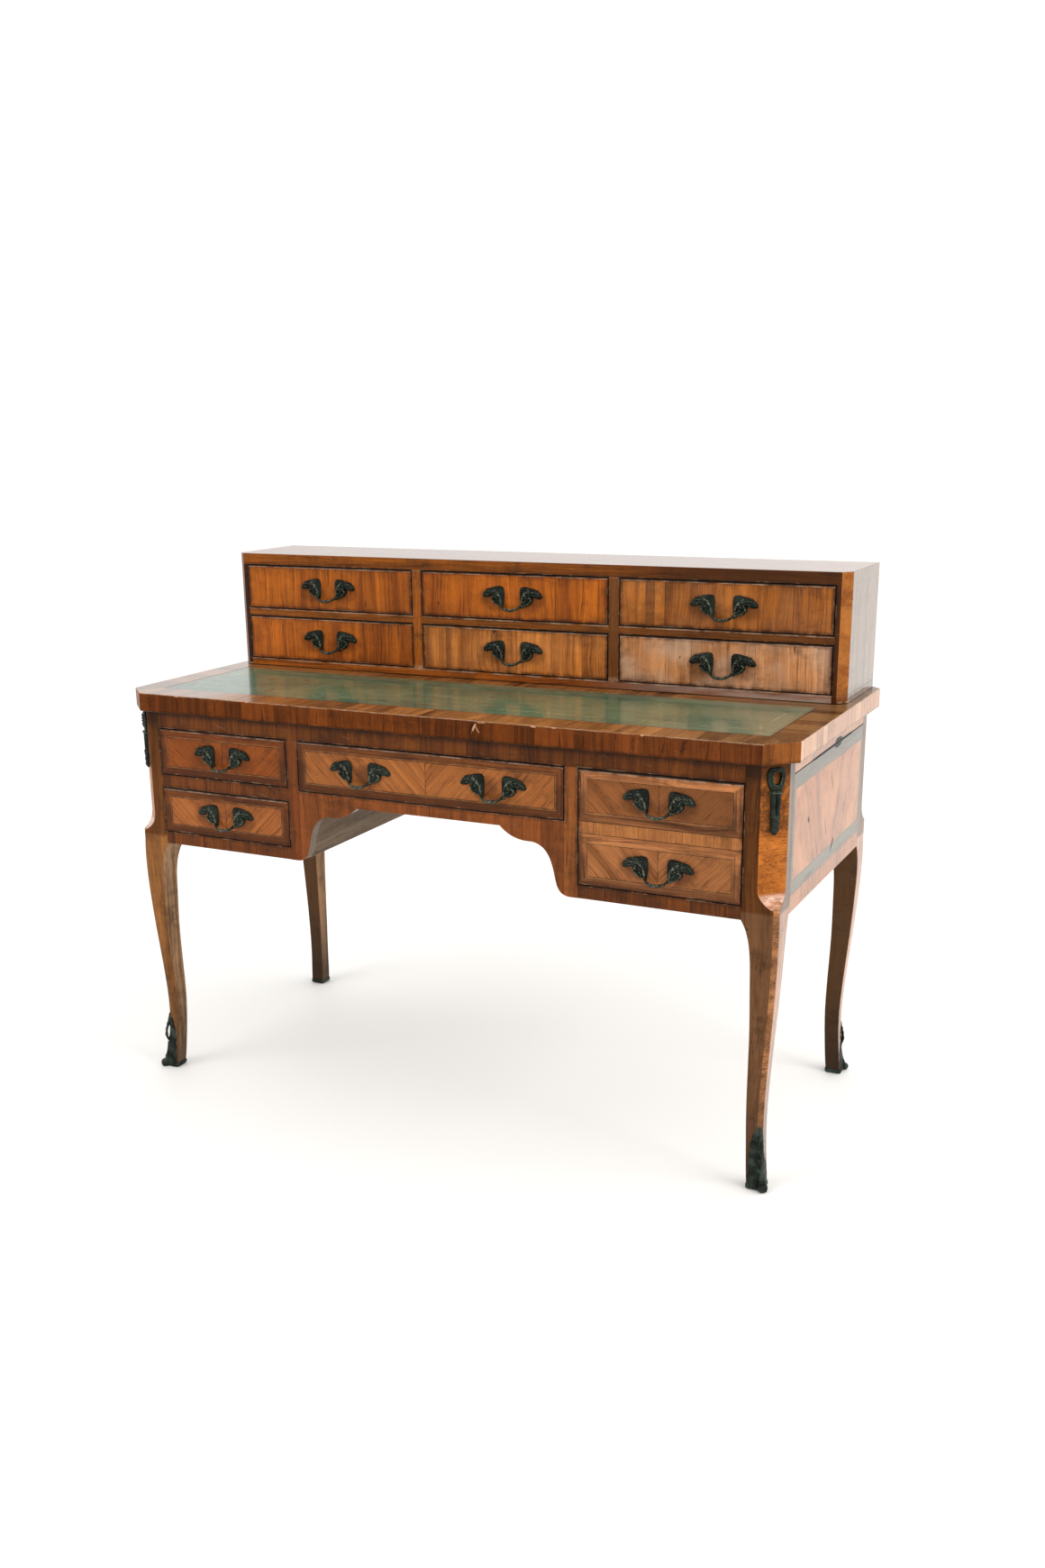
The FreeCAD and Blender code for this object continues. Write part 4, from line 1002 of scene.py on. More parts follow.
# Painted reflection: the side faces are paler than the fronts.
side_light = blend(rightwards, (0.46, 0.275, 0.145, 1), (0.58, 0.24, 0.1, 1))
side_light = blend(on_post, side_light, (0.2, 0.125, 0.07, 1))
light = blend(side_on, light, side_light)
cant_light = blend(rightwards, (0.42, 0.16, 0.058, 1), (0.46, 0.195, 0.078, 1))
light = blend(canted, light, cant_light)
light = blend(striped, light, (0.52, 0.165, 0.026, 1))
dark = blend(on_post, (0.085, 0.038, 0.014, 1), UMBER)
dark = blend(striped, dark, (0.24, 0.066, 0.009, 1))
wood = use(GRAIN, Place=choose(canted, long_place, cross_place), Light=light, Dark=dark, Leaf=0.5,
           Tone=0.1, Streaks=1.8, Figure=0.25, Seam=0.0, Veins=0.6, Cracks=0.7, Seed=51.0)
deep = ramp(z, 0.26, 0.0)
colour = blend(deep * 0.75, wood["Color"], (0.022, 0.014, 0.01, 1))
level = noise(place, (24.0, 24.0, 640.0), 2.0, 0.6)
colour = blend(ramp(level, 0.54, 0.7) * 0.5 * canted, colour, (0.045, 0.016, 0.004, 1))
ticks = noise(place, (70.0, 70.0, 700.0), 2.0, 0.6)
where = noise(place, (14.0, 14.0, 22.0), 3.0, 0.6)
ticks = ramp(where * 0.45 + ticks, 0.8, 0.9) * canted
colour = blend(ticks * 0.55, colour, (0.03, 0.012, 0.004, 1))
colour = aged(place, colour, 10.0, smut=0.5, specks=0.6, scratches=0.1)
# Painted shade beside the mounts and painted shadow under the slab, mixed with specks of dirt.
mount_shadow = ramp(off_middle, 0.016, 0.007) * ramp(z, CHUTE_LOW.z - 0.012, CHUTE_LOW.z + 0.01)
mount_shadow = mount_shadow * (y < 0.0)
shadow_under_top = ramp(z, 0.695, 0.722) * ramp(y, -0.2, -0.22)
blotches = ramp(noise(place, 90.0, 4.0, 0.7) * 1.2 + mount_shadow * 0.75, 1.1, 1.5) * canted
colour = blend(larger(blotches * 0.65, shadow_under_top * 0.8), colour, (0.016, 0.007, 0.003, 1))
# Painted highlight: pale streaks across the knee, where the cant turns in.
knee = ramp(abs(z - KNEE), 0.018, 0.006) * canted
highlight_and_low_patina = ramp(noise(place, (70.0, 70.0, 160.0), 4.0, 0.6), 0.3, 0.65)
colour = blend(knee * highlight_and_low_patina * 0.75, colour, (0.66, 0.44, 0.33, 1))
coloured(shader, beside_drawers(place, colour), wood)
outer_side = side_on * (parts(outlook(place))[0] * x > 0.0)
side_coat = outer_side * (on_post * -0.35 + 0.95) + 0.03
feed(shader.inputs["Coat Weight"], held(knee * 0.8 + side_coat))
soften(0.0010, *LEGS)

# ------------------------------------------------------------------ inside boards
# Back, kneehole sides, bottoms, runners and guides are plain sawn boards of cheap wood,
# grey-brown with age and dust, never polished.
def bare_board(name, on, bare, **grain):
    """Plain unpolished boards on some CAD nodes: their shader, position and wood. The grain
    runs across faces that are seen from the front or back."""
    material, shader = plain_material(name, AMBER, 0.7)
    dress(material, *on)
    shader.inputs["IOR"].default_value = bare
    place = position(shader)
    x, y, z = parts(place)
    run = choose(ramp(facing(place)[1], *LEVEL), joined(z + x, x, y), joined(z, y, x))
    return shader, place, use(GRAIN, Place=run, **grain)


shader, place, wood = bare_board(
    "sawn_board", ["back_panels", "inner_side_left", "inner_side_right", "pedestal_bottoms",
                   "kneehole_ceiling", "drawer_runners", "drawer_guides", "cabinet_back"],
    1.3, Light=(0.23, 0.165, 0.108, 1), Dark=(0.085, 0.058, 0.038, 1), Leaf=0.16, Tone=0.25, Streaks=1.7,
    Figure=0.3, Seam=0.4, Seed=61.0)
dust = ramp(noise(place, 9.0, 5.0, 0.6), 0.45, 0.75)
colour = blend(dust * 0.35, wood["Color"], (0.24, 0.2, 0.16, 1))
wood["Gloss"] = wood["Gloss"] + 0.35
coloured(shader, colour, wood, 0.001)

# ------------------------------------------------------------------ drawer boxes
# Planed oak sides, backs and bottoms behind each front, glued and, on the real piece,
# dovetailed at the corners. They are pale, and were never polished.
shader, _, wood = bare_board(
    "drawer_oak", [name + "_box" for name in DRAWERS], 1.35, Light=(0.36, 0.255, 0.145, 1),
    Dark=(0.19, 0.125, 0.066, 1), Leaf=0.12, Tone=0.2, Streaks=1.6, Figure=0.35, Seam=0.2, Seed=71.0)
wood["Gloss"] = wood["Gloss"] + 0.2
coloured(shader, wood["Color"], wood, 0.0006)

# ------------------------------------------------------------------ writing leather
# One sheet of green hide glued into a recess of the top, waxed, and worn brown in places. A
# gilt line runs round it between blind tooled knots, and its edge has darkened.
LEATHER_LOW, LEATHER_HIGH = corners("writing_leather")
GILT_SIDE = 0.0345            # gilt line's distance from the ends, and from the front
GILT_FRONT = 0.045
KNOT_IN = 0.006               # corner knot's middle outside the gilt line
KNOT_HALF = 0.011
WAX = {"Coat Weight": 0.7, "Coat Roughness": 0.07, "Coat IOR": 1.4, "IOR": 1.35}
leather, shader = plain_material("green_leather", (0.1, 0.12, 0.07, 1), 0.3)
dress(leather, "writing_leather")
for socket, amount in WAX.items():
    shader.inputs[socket].default_value = amount
place = position(shader)
x, y, _ = parts(place)
big = noise(place, (5.0, 9.0, 1.0), 4.0, 0.6)
small = noise(place, (40.0, 60.0, 1.0), 4.0, 0.7)
scuffs = noise(place, (12.0, 110.0, 1.0), 4.0, 0.65)
stains = noise(place, (22.0, 34.0, 1.0), 5.0, 0.7)
colour = blend(ramp(big, 0.36, 0.6), (0.026, 0.108, 0.066, 1), (0.098, 0.165, 0.086, 1))
pale_end = ramp(small * 0.1 + x, 0.42, 0.58)
colour = blend(pale_end * 0.6, colour, (0.22, 0.23, 0.15, 1))
colour = blend(ramp(small, 0.5, 0.75) * 0.4, colour, (0.2, 0.21, 0.12, 1))
colour = blend(ramp(scuffs, 0.54, 0.7) * 0.7, colour, (0.09, 0.056, 0.03, 1))
colour = blend(ramp(scuffs, 0.45, 0.3) * 0.5, colour, (0.16, 0.24, 0.13, 1))
colour = blend(ramp(stains, 0.6, 0.7) * 0.6, colour, (0.04, 0.032, 0.018, 1))
from_end = LEATHER_HIGH.x - abs(x)
from_front = y - LEATHER_LOW.y
from_back = CAB_LOW.y - y
inset = smaller(from_end, from_front, from_back)
colour = blend(edge_wear(place, inset, 0.01, 0.7) * 0.55, colour, (0.05, 0.04, 0.026, 1))
colour = blend(ramp(inset, 0.0026, 0.0014) * 0.9, colour, (0.012, 0.012, 0.009, 1))
tool_inset = smaller(from_end - GILT_SIDE, from_front - GILT_FRONT, from_back - GILT_FRONT)
gilt = ramp(abs(tool_inset), 0.001, 0.0006)
left_gold = gilt * ramp(noise(place, 28.0, 4.0, 0.7), 0.47, 0.55)
colour = blend(gilt * 0.35, colour, (0.04, 0.04, 0.022, 1))
colour = blend(left_gold * 0.75, colour, (0.62, 0.52, 0.2, 1))
corner_x = (from_end - (GILT_SIDE - KNOT_IN)) / KNOT_HALF
corner_y = (from_front - (GILT_FRONT - KNOT_IN)) / KNOT_HALF
reach = corner_x * corner_x + corner_y * corner_y
petals = abs(corner_x * corner_y)
knot = ramp(reach, 1.1, 0.9) * ramp(abs(petals - 0.12), 0.06, 0.02)
colour = blend(knot * 0.8, colour, (0.018, 0.014, 0.008, 1))
feed(shader.inputs["Base Color"], colour)
feed(shader.inputs["Roughness"], small * 0.3 + 0.2)
pits = Value(put(tree_of(place), "TexVoronoi", Vector=place, Scale=900.0).outputs["Distance"])
relief = larger(knot, gilt) * -0.8 + (pits * 0.25 + big * 4.0)
dented(shader, scuffs * 0.5 + relief, 0.25, 0.0008)

# ------------------------------------------------------------------ pulls
# Each pull is one sand cast bronze, black with patina and olive where it is rubbed: two winged
# leaves lie on the drawer front, and a thin bow stands clear of the wood between them. Each leaf
# has a post cast on its back, which passes through the front to a round nut inside.
PULL_WIDTH = 0.128
PULL_GRIP = 0.033             # clear width between the leaves
PULL_HEIGHT = 0.046
POST_SPACING = 0.062
POST_RISE = 0.033             # height of the posts over the pull's lowest point
PULL_DROP = 0.003             # the leaves' middle below the middle of the pull's place
LEAF_WIDE = (PULL_WIDTH - PULL_GRIP) / 2
LEAF_HEART = (0.016, 0.033)   # point that the leaf's rows close on
LEAF_RIM = 0.0022             # thickness at the edge
LEAF_SWELL = 0.0036
PIT_DEEP = 0.0018
LEAF_LOBES = (0.022, 19)      # depth and number of the notches round the edge
BOW_HALF = 0.0205             # half the bow's span, its roots, and its way out and down
BOW_ROOTS = (0.0, -0.003, 0.012)
BOW_REACH = np.array([0.0, -0.0137, -0.0094])
# Outline of a leaf in stretches, as shares of its width from the inner edge and of the height.
LEAF_OUTLINE = (
    ((0.00, 0.78), (0.05, 0.95), (0.22, 1.00), (0.53, 0.94), (0.80, 0.85), (1.00, 0.60)),
    ((1.00, 0.60), (0.89, 0.53), (0.72, 0.54), (0.57, 0.60)),
    ((0.57, 0.60), (0.56, 0.42), (0.43, 0.27), (0.23, 0.19), (0.05, 0.12)),
    ((0.05, 0.12), (0.01, 0.45), (0.00, 0.78)),
)
# Raised ribs: height, half width, and points in metres from the inner edge and the low point.
LEAF_RIBS = (
    (0.0026, 0.0017, ((0.003, 0.008), (0.005, 0.016), (0.007, 0.025), (0.012, 0.034), (0.020, 0.039))),
    (0.0024, 0.0014, ((0.005, 0.009), (0.013, 0.011), (0.020, 0.015), (0.0245, 0.021), (0.022, 0.026),
                      (0.018, 0.024))),
    (0.0016, 0.0013, ((0.009, 0.029), (0.016, 0.033), (0.026, 0.0365), (0.036, 0.0345), (0.044, 0.029))),
    (0.0013, 0.0011, ((0.011, 0.024), (0.019, 0.029), (0.029, 0.0315), (0.038, 0.0285))),
    (0.0012, 0.0011, ((0.010, 0.015), (0.014, 0.020), (0.015, 0.026), (0.012, 0.030))),
    (0.0010, 0.0010, ((0.012, 0.040), (0.022, 0.0425), (0.033, 0.0395), (0.042, 0.034))),
)
# Pits between them: the same coordinates, and a width.
LEAF_PITS = ((0.0255, 0.0275, 0.0026), (0.0165, 0.0215, 0.0016), (0.031, 0.033, 0.0014),
             (0.0085, 0.0205, 0.0014))


def through_points(points, count):
    """A smooth open curve through points: count samples of a Catmull-Rom spline."""
    points = np.asarray(points, float)
    ends = np.vstack([2 * points[0] - points[1], points, 2 * points[-1] - points[-2]])
    along = np.linspace(0, len(points) - 1, count)
    start = np.minimum(along.astype(int), len(points) - 2)
    t = (along - start)[:, None]
    a, b, c, d = (ends[start + k] for k in range(4))
    bend, twist = 2 * a - 5 * b + 4 * c - d, 3 * b - a - 3 * c + d
    return 0.5 * (2 * b + (c - a) * t + bend * t**2 + twist * t**3)


def rib_height(where, points, height, half_width):
    """Height of a rib at some places: height times exp(-(distance / half width)^2)."""
    line = through_points(points, 60)
    gap = np.min(np.linalg.norm(where[..., None, :] - line, axis=-1), axis=-1)
    return height * np.exp(-(gap / half_width) ** 2)


def band_faces(rows, columns, ring=False):
    """Four-cornered faces between closed rows of points, and from last to first in a ring."""
    row, spot = np.meshgrid(np.arange(rows if ring else rows - 1), np.arange(columns), indexing="ij")
    below, beside = (row + 1) % rows, (spot + 1) % columns
    return np.stack([row * columns + spot, row * columns + beside,
                     below * columns + beside, below * columns + spot], -1).reshape(-1, 4).tolist()


def closed_skin(rings, proud, poles=None):
    """A skin over rings of points with a pole at each end: points, faces and how proud each
    point stands. The poles stand as proud as the rings, unless they have their own."""
    rows, columns = rings.shape[:2]
    points = np.vstack([rings.reshape(-1, 3), rings[0].mean(0), rings[-1].mean(0)])
    spot = np.arange(columns)
    beside = (spot + 1) % columns
    first = np.stack([beside, spot, np.full(columns, rows * columns)], -1)
    last = (rows - 1) * columns
    final = np.stack([last + spot, last + beside, np.full(columns, rows * columns + 1)], -1)
    proud = np.append(np.broadcast_to(proud, (rows, columns)), (proud, proud) if poles is None else poles)
    return points, band_faces(rows, columns) + first.tolist() + final.tolist(), proud


def moved(pieces, place=(0, 0, 0), mirror=(1, 1, 1)):
    """Skins mirrored and moved."""
    return [(points * mirror + place, faces, proud) for points, faces, proud in pieces]


def turned(profile, place, count=20):
    """A round piece about an axis along y: profile gives radius and y."""
    angle = np.linspace(0, 2 * np.pi, count, endpoint=False)
    radius, depth = np.asarray(profile, float).T
    rings = np.stack([radius[:, None] * np.cos(angle), np.repeat(depth[:, None], count, 1),
                      radius[:, None] * np.sin(angle)], -1)
    return moved([closed_skin(rings, 0.3)], place)[0]


def casting(name, pieces, body, node, material):
    """One smooth object of several closed skins; each vertex keeps how proud it stands."""
    points = np.vstack([piece[0] for piece in pieces])
    starts = np.cumsum([0] + [len(piece[0]) for piece in pieces[:-1]])
    faces = [[int(start) + v for v in face] for start, piece in zip(starts, pieces) for face in piece[1]]
    thing = new_object(name, points, faces, True)
    mesh = bmesh.new()
    mesh.from_mesh(thing.data)
    bmesh.ops.recalc_face_normals(mesh, faces=mesh.faces)
    mesh.to_mesh(thing.data)
    mesh.free()
    proud = thing.data.attributes.new("proud", "FLOAT", "POINT")
    proud.data.foreach_set("value", np.concatenate([piece[2] for piece in pieces]).astype(np.float32))
    thing.data.materials.append(material)
    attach(thing, body)
    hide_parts(node)


def leaf_skin():
    """The right leaf of a pull, with y out of the wood negative. A row is the outline drawn
    in towards the heart by r; it stands rim + swell (1 - r^4) + ribs - pits from the wood."""
    stretches = [through_points(stretch, 44)[:-1] for stretch in LEAF_OUTLINE]
    outline = np.vstack(stretches) * (LEAF_WIDE, PULL_HEIGHT)
    heart = np.asarray(LEAF_HEART)
    spread = outline - heart
    angle = np.arctan2(spread[:, 1], spread[:, 0])
    lobes = 1 + LEAF_LOBES[0] * np.cos(LEAF_LOBES[1] * angle)
    shares = np.concatenate([np.linspace(1, 0.9, 5), np.linspace(0.87, 0.06, 27)])
    flat = heart + spread * lobes[:, None] * shares[:, None, None]
    ribs = sum(rib_height(flat, points, height, half) for height, half, points in LEAF_RIBS)
    pits = sum(PIT_DEEP * np.exp(-((flat[..., 0] - px) ** 2 + (flat[..., 1] - pz) ** 2) / width**2)
               for px, pz, width in LEAF_PITS)
    warp = 1.2 * np.sin(flat[..., 0] * 420 + flat[..., 1] * 300)
    rows = np.abs(np.sin(flat[..., 0] * 760 + flat[..., 1] * 420 + warp)) ** 0.6
    columns = np.abs(np.sin(flat[..., 1] * 880 - flat[..., 0] * 310 - warp)) ** 0.6
    chased = 0.0013 * (rows * columns - 0.45)
    edge = np.sqrt(np.clip(1 - ((shares - 0.9) / 0.1).clip(0) ** 2, 0, 1))[:, None]
    height = ((LEAF_RIM + (LEAF_SWELL * (1 - shares ** 4))[:, None] + ribs - pits + chased)
              * (0.35 + 0.65 * edge))
    front = np.stack([flat[..., 0], -height, flat[..., 1]], -1)
    back = np.stack([flat[..., 0], np.zeros_like(height), flat[..., 1]], -1)[[0, 10]]
    rings = np.concatenate([back[::-1], front])
    proud = np.clip((ribs + 2.4 * chased - pits) / 0.0030, 0, 1) * edge
    proud = np.concatenate([np.zeros((2, len(outline))), proud])
    return moved([closed_skin(rings, proud, (0.0, 0.3))], (PULL_GRIP / 2, 0, 0))[0]


def bow_skin():
    """Thin crescent rod: its middle is a half ellipse from root to root, out of the wood and
    downwards, and its oval section swells towards the middle and in a bead at each root."""
    angle = np.linspace(-np.pi / 2, np.pi / 2, 49)
    section = np.linspace(0, 2 * np.pi, 16, endpoint=False)
    sideways = np.array([1.0, 0.0, 0.0])
    reach = np.linalg.norm(BOW_REACH)
    outwards = BOW_REACH / reach
    across = np.cross(sideways, outwards)
    sine, cosine = np.sin(angle)[:, None], np.cos(angle)[:, None]
    middle = BOW_ROOTS + BOW_HALF * sine * sideways + reach * cosine * outwards
    normal = sine * sideways + cosine * outwards
    bead = np.exp(-((np.abs(angle) - 1.22) / 0.09) ** 2)
    swell = 0.0008 * np.cos(angle) ** 2
    thick = 0.0018 + swell + 0.0010 * bead
    wide = 0.0022 + swell + 0.0010 * bead
    rings = (middle[:, None] + thick[:, None, None] * np.cos(section)[:, None] * normal[:, None]
             + wide[:, None, None] * np.sin(section)[:, None] * across)
    return closed_skin(rings, 0.35 + 0.35 * cosine**2, (0.2, 0.2))


def pull_pieces(x, z, face_y, back_y):
    """Leaves, bow, posts and nuts of the pull whose middle is x, z on a drawer front."""
    leaf = leaf_skin()
    place = np.array([x, face_y, z - PULL_HEIGHT / 2 - PULL_DROP])
    pieces = moved([bow_skin(), leaf, *moved([leaf], mirror=(-1, 1, 1))], place)
    through = back_y - face_y
    screw = ((0.0024, -0.003), (0.0024, through), (0.0050, through), (0.0058, through + 0.0008),
             (0.0058, through + 0.0030), (0.0050, through + 0.0038), (0.0024, through + 0.0038),
             (0.0024, through + 0.0040))
    return pieces + [turned(screw, place + (side * POST_SPACING / 2, 0, POST_RISE)) for side in (-1, 1)]


bronze, shader = plain_material("bronze_patina", (0.03, 0.035, 0.03, 1), 0.4)
place = position(shader)
proud = Value(put(tree_of(place), "Attribute", {"attribute_name": "proud"}).outputs["Fac"])
blotches = noise(place, 300.0, 4.0, 0.65)
cloud = noise(place, 45.0, 3.0, 0.6)
highlight_and_low_patina = blend(ramp(parts(place)[2], 0.3, 0.2), (0.018, 0.025, 0.019, 1), (0.036, 0.047, 0.037, 1))
patina = blend(ramp(cloud, 0.4, 0.65), (0.006, 0.009, 0.007, 1), highlight_and_low_patina)
rubbed = ramp(proud, 0.35, 1.0) * ramp(blotches, 0.42, 0.62)
colour = blend(rubbed * 0.9, patina, (0.25, 0.265, 0.19, 1))
feed(shader.inputs["Base Color"], colour)
feed(shader.inputs["Metallic"], rubbed * 0.55 + 0.15)
feed(shader.inputs["Roughness"], blotches * 0.3 + 0.22)
shader.inputs["IOR"].default_value = 1.2
dented(shader, blotches, 0.8, 0.0016)

for name in DRAWERS:
    face, back = corners(name + "_front")
    node = name + ("_pulls" if name in ("centre", "right_deep") else "_pull")
    base, top = corners(node)
    across, up = [(base.x + top.x) / 2], [base.z + PULL_HEIGHT / 2 + PULL_DROP]
    if name == "centre":
        across = [base.x + PULL_WIDTH / 2, top.x - PULL_WIDTH / 2]
    if name == "right_deep":
        across = [(face.x + back.x) / 2]
        up.append(top.z - PULL_HEIGHT / 2 + PULL_DROP)
    pieces = [piece for z in up for x in across for piece in pull_pieces(x, z, face.y, back.y)]
    casting("pull_" + name, pieces, name + "_drawer", node, bronze)

# ------------------------------------------------------------------ chutes
# A cast bronze pendant hangs on the canted face of each front post, just below the top: a ring
# with a deep eye, a collar, a fluted shaft and a scaly tail. It is flat at the back and pinned.
CHUTE_THICK = 0.008
RING_HALF = (0.016, 0.019)
EYE_HALF = (0.0068, 0.0104)
EYE_DROP = 0.0168             # eye's middle below the ring's top
COLLAR_DROP = 0.040           # collar's middle below it, half its width, and half its height
COLLAR_HALF = 0.0127
COLLAR_RISE = 0.0028
STEP_DROP = 0.077             # where the shaft ends and the tail begins
SCALE_PITCH = 0.0105
SHAFT_HALF = 0.0098           # half the shaft's width at the collar, and how much it narrows
SHAFT_TAPER = 0.0037
TAIL_TIP = 0.0075             # length of the rounded end


def oval(angle, half, power, narrowing):
    """Points of |u/a|^n + |w/b|^n = 1 at some angles, narrower below its middle."""
    cosine, sine = np.cos(angle), np.sin(angle)
    radius = (np.abs(cosine / half[0]) ** power + np.abs(sine / half[1]) ** power) ** (-1 / power)
    squeeze = 1 - narrowing * np.clip(-sine, 0, 1)
    return np.stack([radius * cosine * squeeze, radius * sine], -1)


def ring_skin():
    """The pendant's ring: round the eye by one angle, and from its inner edge over the front
    to its outer edge and back along the wood by the other. The lip round the eye is raised."""
    angle = np.linspace(0, 2 * np.pi, 64, endpoint=False)
    turn = np.linspace(0, np.pi, 13)
    outer = oval(angle, RING_HALF, 3.6, 0.22) - (0, RING_HALF[1])
    inner = oval(angle, EYE_HALF, 3.5, 0.30) - (0, EYE_DROP)
    share = np.concatenate([(1 - np.cos(turn)) / 2, [0.75, 0.25]])
    lip = np.exp(-((share - 0.16) / 0.11) ** 2)
    rise = np.concatenate([0.55 * np.sin(turn) ** 0.5, [0, 0]]) + 0.45 * lip
    rise[-2:] = 0
    flat = inner + (outer - inner) * share[:, None, None]
    knobs = 1 - 0.22 * np.abs(np.cos(5.5 * angle)) ** 3
    depth = CHUTE_THICK * np.clip(rise[:, None] * knobs, 0, 1)
    sheet = np.stack([flat[..., 0], -depth, flat[..., 1]], -1)
    rows, columns = sheet.shape[:2]
    return sheet.reshape(-1, 3), band_faces(rows, columns, ring=True), np.repeat(0.8 * lip, columns)


def pendant_skin():
    """Shaft and tail: rows down the post, each a front that bulges across the width and a
    flat back. The shaft has two reeds with a groove between, the tail three rows of scales."""
    drop = np.linspace(COLLAR_DROP - 0.002, CHUTE_HIGH.z - CHUTE_LOW.z, 60)
    share = (drop - drop[0]) / (drop[-1] - drop[0])
    across = np.linspace(-1, 1, 25)
    on_tail = drop > STEP_DROP
    half = SHAFT_HALF - SHAFT_TAPER * share
    waves = 1.0 + 0.16 * np.sin((drop - STEP_DROP) * 2 * np.pi / SCALE_PITCH)
    half = half * np.where(on_tail, waves, 1.0)
    left = np.clip((drop[-1] - drop) / TAIL_TIP, 0, 1)
    half = half * np.sqrt(1 - (1 - left) ** 2)
    reeds = 0.30 + 0.62 * np.abs(np.sin(np.pi * across)) ** 0.6
    scales = 0.62 + 0.30 * np.abs(np.sin(np.pi * (drop[:, None] - STEP_DROP) / SCALE_PITCH
                                         + 1.4 * np.abs(across))) ** 0.7
    scales = scales * np.sqrt(np.clip(1 - 0.75 * across**2, 0, 1))
    step = np.exp(-((drop - STEP_DROP) / 0.0016) ** 2)[:, None]
    rise = np.where(on_tail[:, None], scales, reeds * (0.80 + 0.1 * step)) + 0.18 * step
    rise = rise * (0.45 + 0.55 * np.sqrt(np.clip(left, 0, 1)))[:, None]
    rise = np.clip(rise, 0, 1) * np.clip((1 - np.abs(across)) / 0.06, 0.35, 1)
    front = np.stack([half[:, None] * across, -CHUTE_THICK * rise, -drop[:, None] + 0 * across], -1)
    back = front[:, ::-4] * (1, 0, 1)
    proud = np.concatenate([np.clip(rise - 0.75, 0, 1) * 3, 0 * rise[:, ::-4]], 1)
    return closed_skin(np.concatenate([front, back], 1), proud, (0, 0))


def collar_skin():
    """A half round bar across the pendant: half circles whose size falls off towards both ends
    as the root of 1 - |share|^6."""
    across = np.sin(np.linspace(-1, 1, 21) * np.pi / 2)
    angle = np.linspace(0, np.pi, 11)
    swell = np.clip(1 - np.abs(across) ** 6, 0.05, 1) ** 0.5
    rings = np.stack([np.repeat(COLLAR_HALF * across[:, None], len(angle), 1),
                      -CHUTE_THICK * np.sin(angle) * swell[:, None],
                      COLLAR_RISE * np.cos(angle) * swell[:, None] - COLLAR_DROP], -1)
    return closed_skin(rings, 0.6)


pendant = [ring_skin(), pendant_skin(), collar_skin()]
turn = np.array([[1, 1, 0], [-1, 1, 0], [0, 0, math.sqrt(2)]]) / math.sqrt(2)
on_post = (LEG_HIGH.x - POST_CANT / 2, LEG_LOW.y + POST_CANT / 2, CHUTE_HIGH.z)
right = [(points @ turn + on_post, faces, proud) for points, faces, proud in pendant]
casting("chutes", right + moved(right, mirror=(-1, 1, 1)), "desk", "chute_mounts", bronze)

# ------------------------------------------------------------------ shoes
# Each foot stands in a cast bronze shoe, pinned to the wood: a thin sole and rim round the foot,
# a leaf that climbs the outer corner to a point, and a hollow front that rolls into a scroll.
SHOE_TIP = 0.115
SHOE_TOP = 0.0095             # height of the rim all round the foot
SHOE_WALL = 0.0022
SHOE_ARRIS = 0.008            # leg's own rounded corner
FOOT_LEVEL = 0.0045           # lowest level on which the leg is measured
BURIED = 0.0008               # how deep the castings' backs lie in the wood
SHOE_WAVE = 0.019             # height of a wave in the leaf's edge
# A pierced loop stands off the arris below the leaf's point: how far off, and how high.
LOOP = ((0.001, 0.053), (0.0046, 0.06), (0.0072, 0.067), (0.007, 0.08), (0.0044, 0.089), (0.0028, 0.098),
        (0.001, 0.113))
LOOP_MIDDLE = 0.0755
LOOP_RADIUS = 0.0025
LOOP_GIRTH = ((0.053, 0.066, 0.078, 0.090, 0.113), (0.7, 1.2, 0.95, 1.35, 0.35))     # share of it
# Rim: its levels, and how far it stands off the wood as a share of the wall.
RIM = ((0.0, -0.9), (0.0004, -0.2), (0.0014, 0.6), (0.0030, 1.0), (0.0060, 0.95), (0.0084, 0.85),
       (SHOE_TOP, 0.4), (SHOE_TOP, -0.4))
# Toe: its profile above and behind the scroll as distance out of the corner and level, the
# point that its ends close on, and half its width by level.
TOE_HOLLOW = ((-0.0070, 0.052), (-0.0052, 0.037), (-0.0022, 0.025), (0.0018, 0.0165))
TOE_BACK = ((-0.010, 0.0), (-0.016, 0.010), (-0.014, 0.030))
TOE_CORE = np.array([-0.004, 0.012])
TOE_WIDTH = ((0.0, 0.014, 0.026, 0.052), (0.0085, 0.0080, 0.0060, 0.0016))
# Width of the leaf on the leg's front or back, at some levels.
LEAF_LIMIT = ((0.0, 0.026), (0.012, 0.0245), (0.025, 0.0225), (0.045, 0.0205), (0.06, 0.019),
              (0.075, 0.0175), (0.085, 0.016), (0.095, 0.0135), (0.105, 0.0095), (0.112, 0.005),
              (0.115, 0.002))
LEAF_SIDE = ((0.042, 1.0), (0.066, 0.42))         # its share of that width on the end of the desk
RIB_PITCH = 0.0165            # from rib to rib down the leaf, and how fast they slant
RIB_SLANT = 1.3


def leg_slices(name, levels):
    """Lowest and highest x and y of a leg where it is cut at some levels."""
    mesh = nodes[name].data
    spots = np.empty(len(mesh.vertices) * 3)
    mesh.vertices.foreach_get("co", spots)
    ends = np.empty(len(mesh.edges) * 2, int)
    mesh.edges.foreach_get("vertices", ends)
    a, b = spots.reshape(-1, 3)[ends.reshape(-1, 2)].transpose(1, 0, 2)
    found = []
    for level in levels:
        crossing = (a[:, 2] - level) * (b[:, 2] - level) < 0
        share = (level - a[crossing, 2]) / (b[crossing, 2] - a[crossing, 2])
        cut = a[crossing, :2] + share[:, None] * (b - a)[crossing, :2]
        found.append([*cut.min(0), *cut.max(0)])
    return np.array(found)


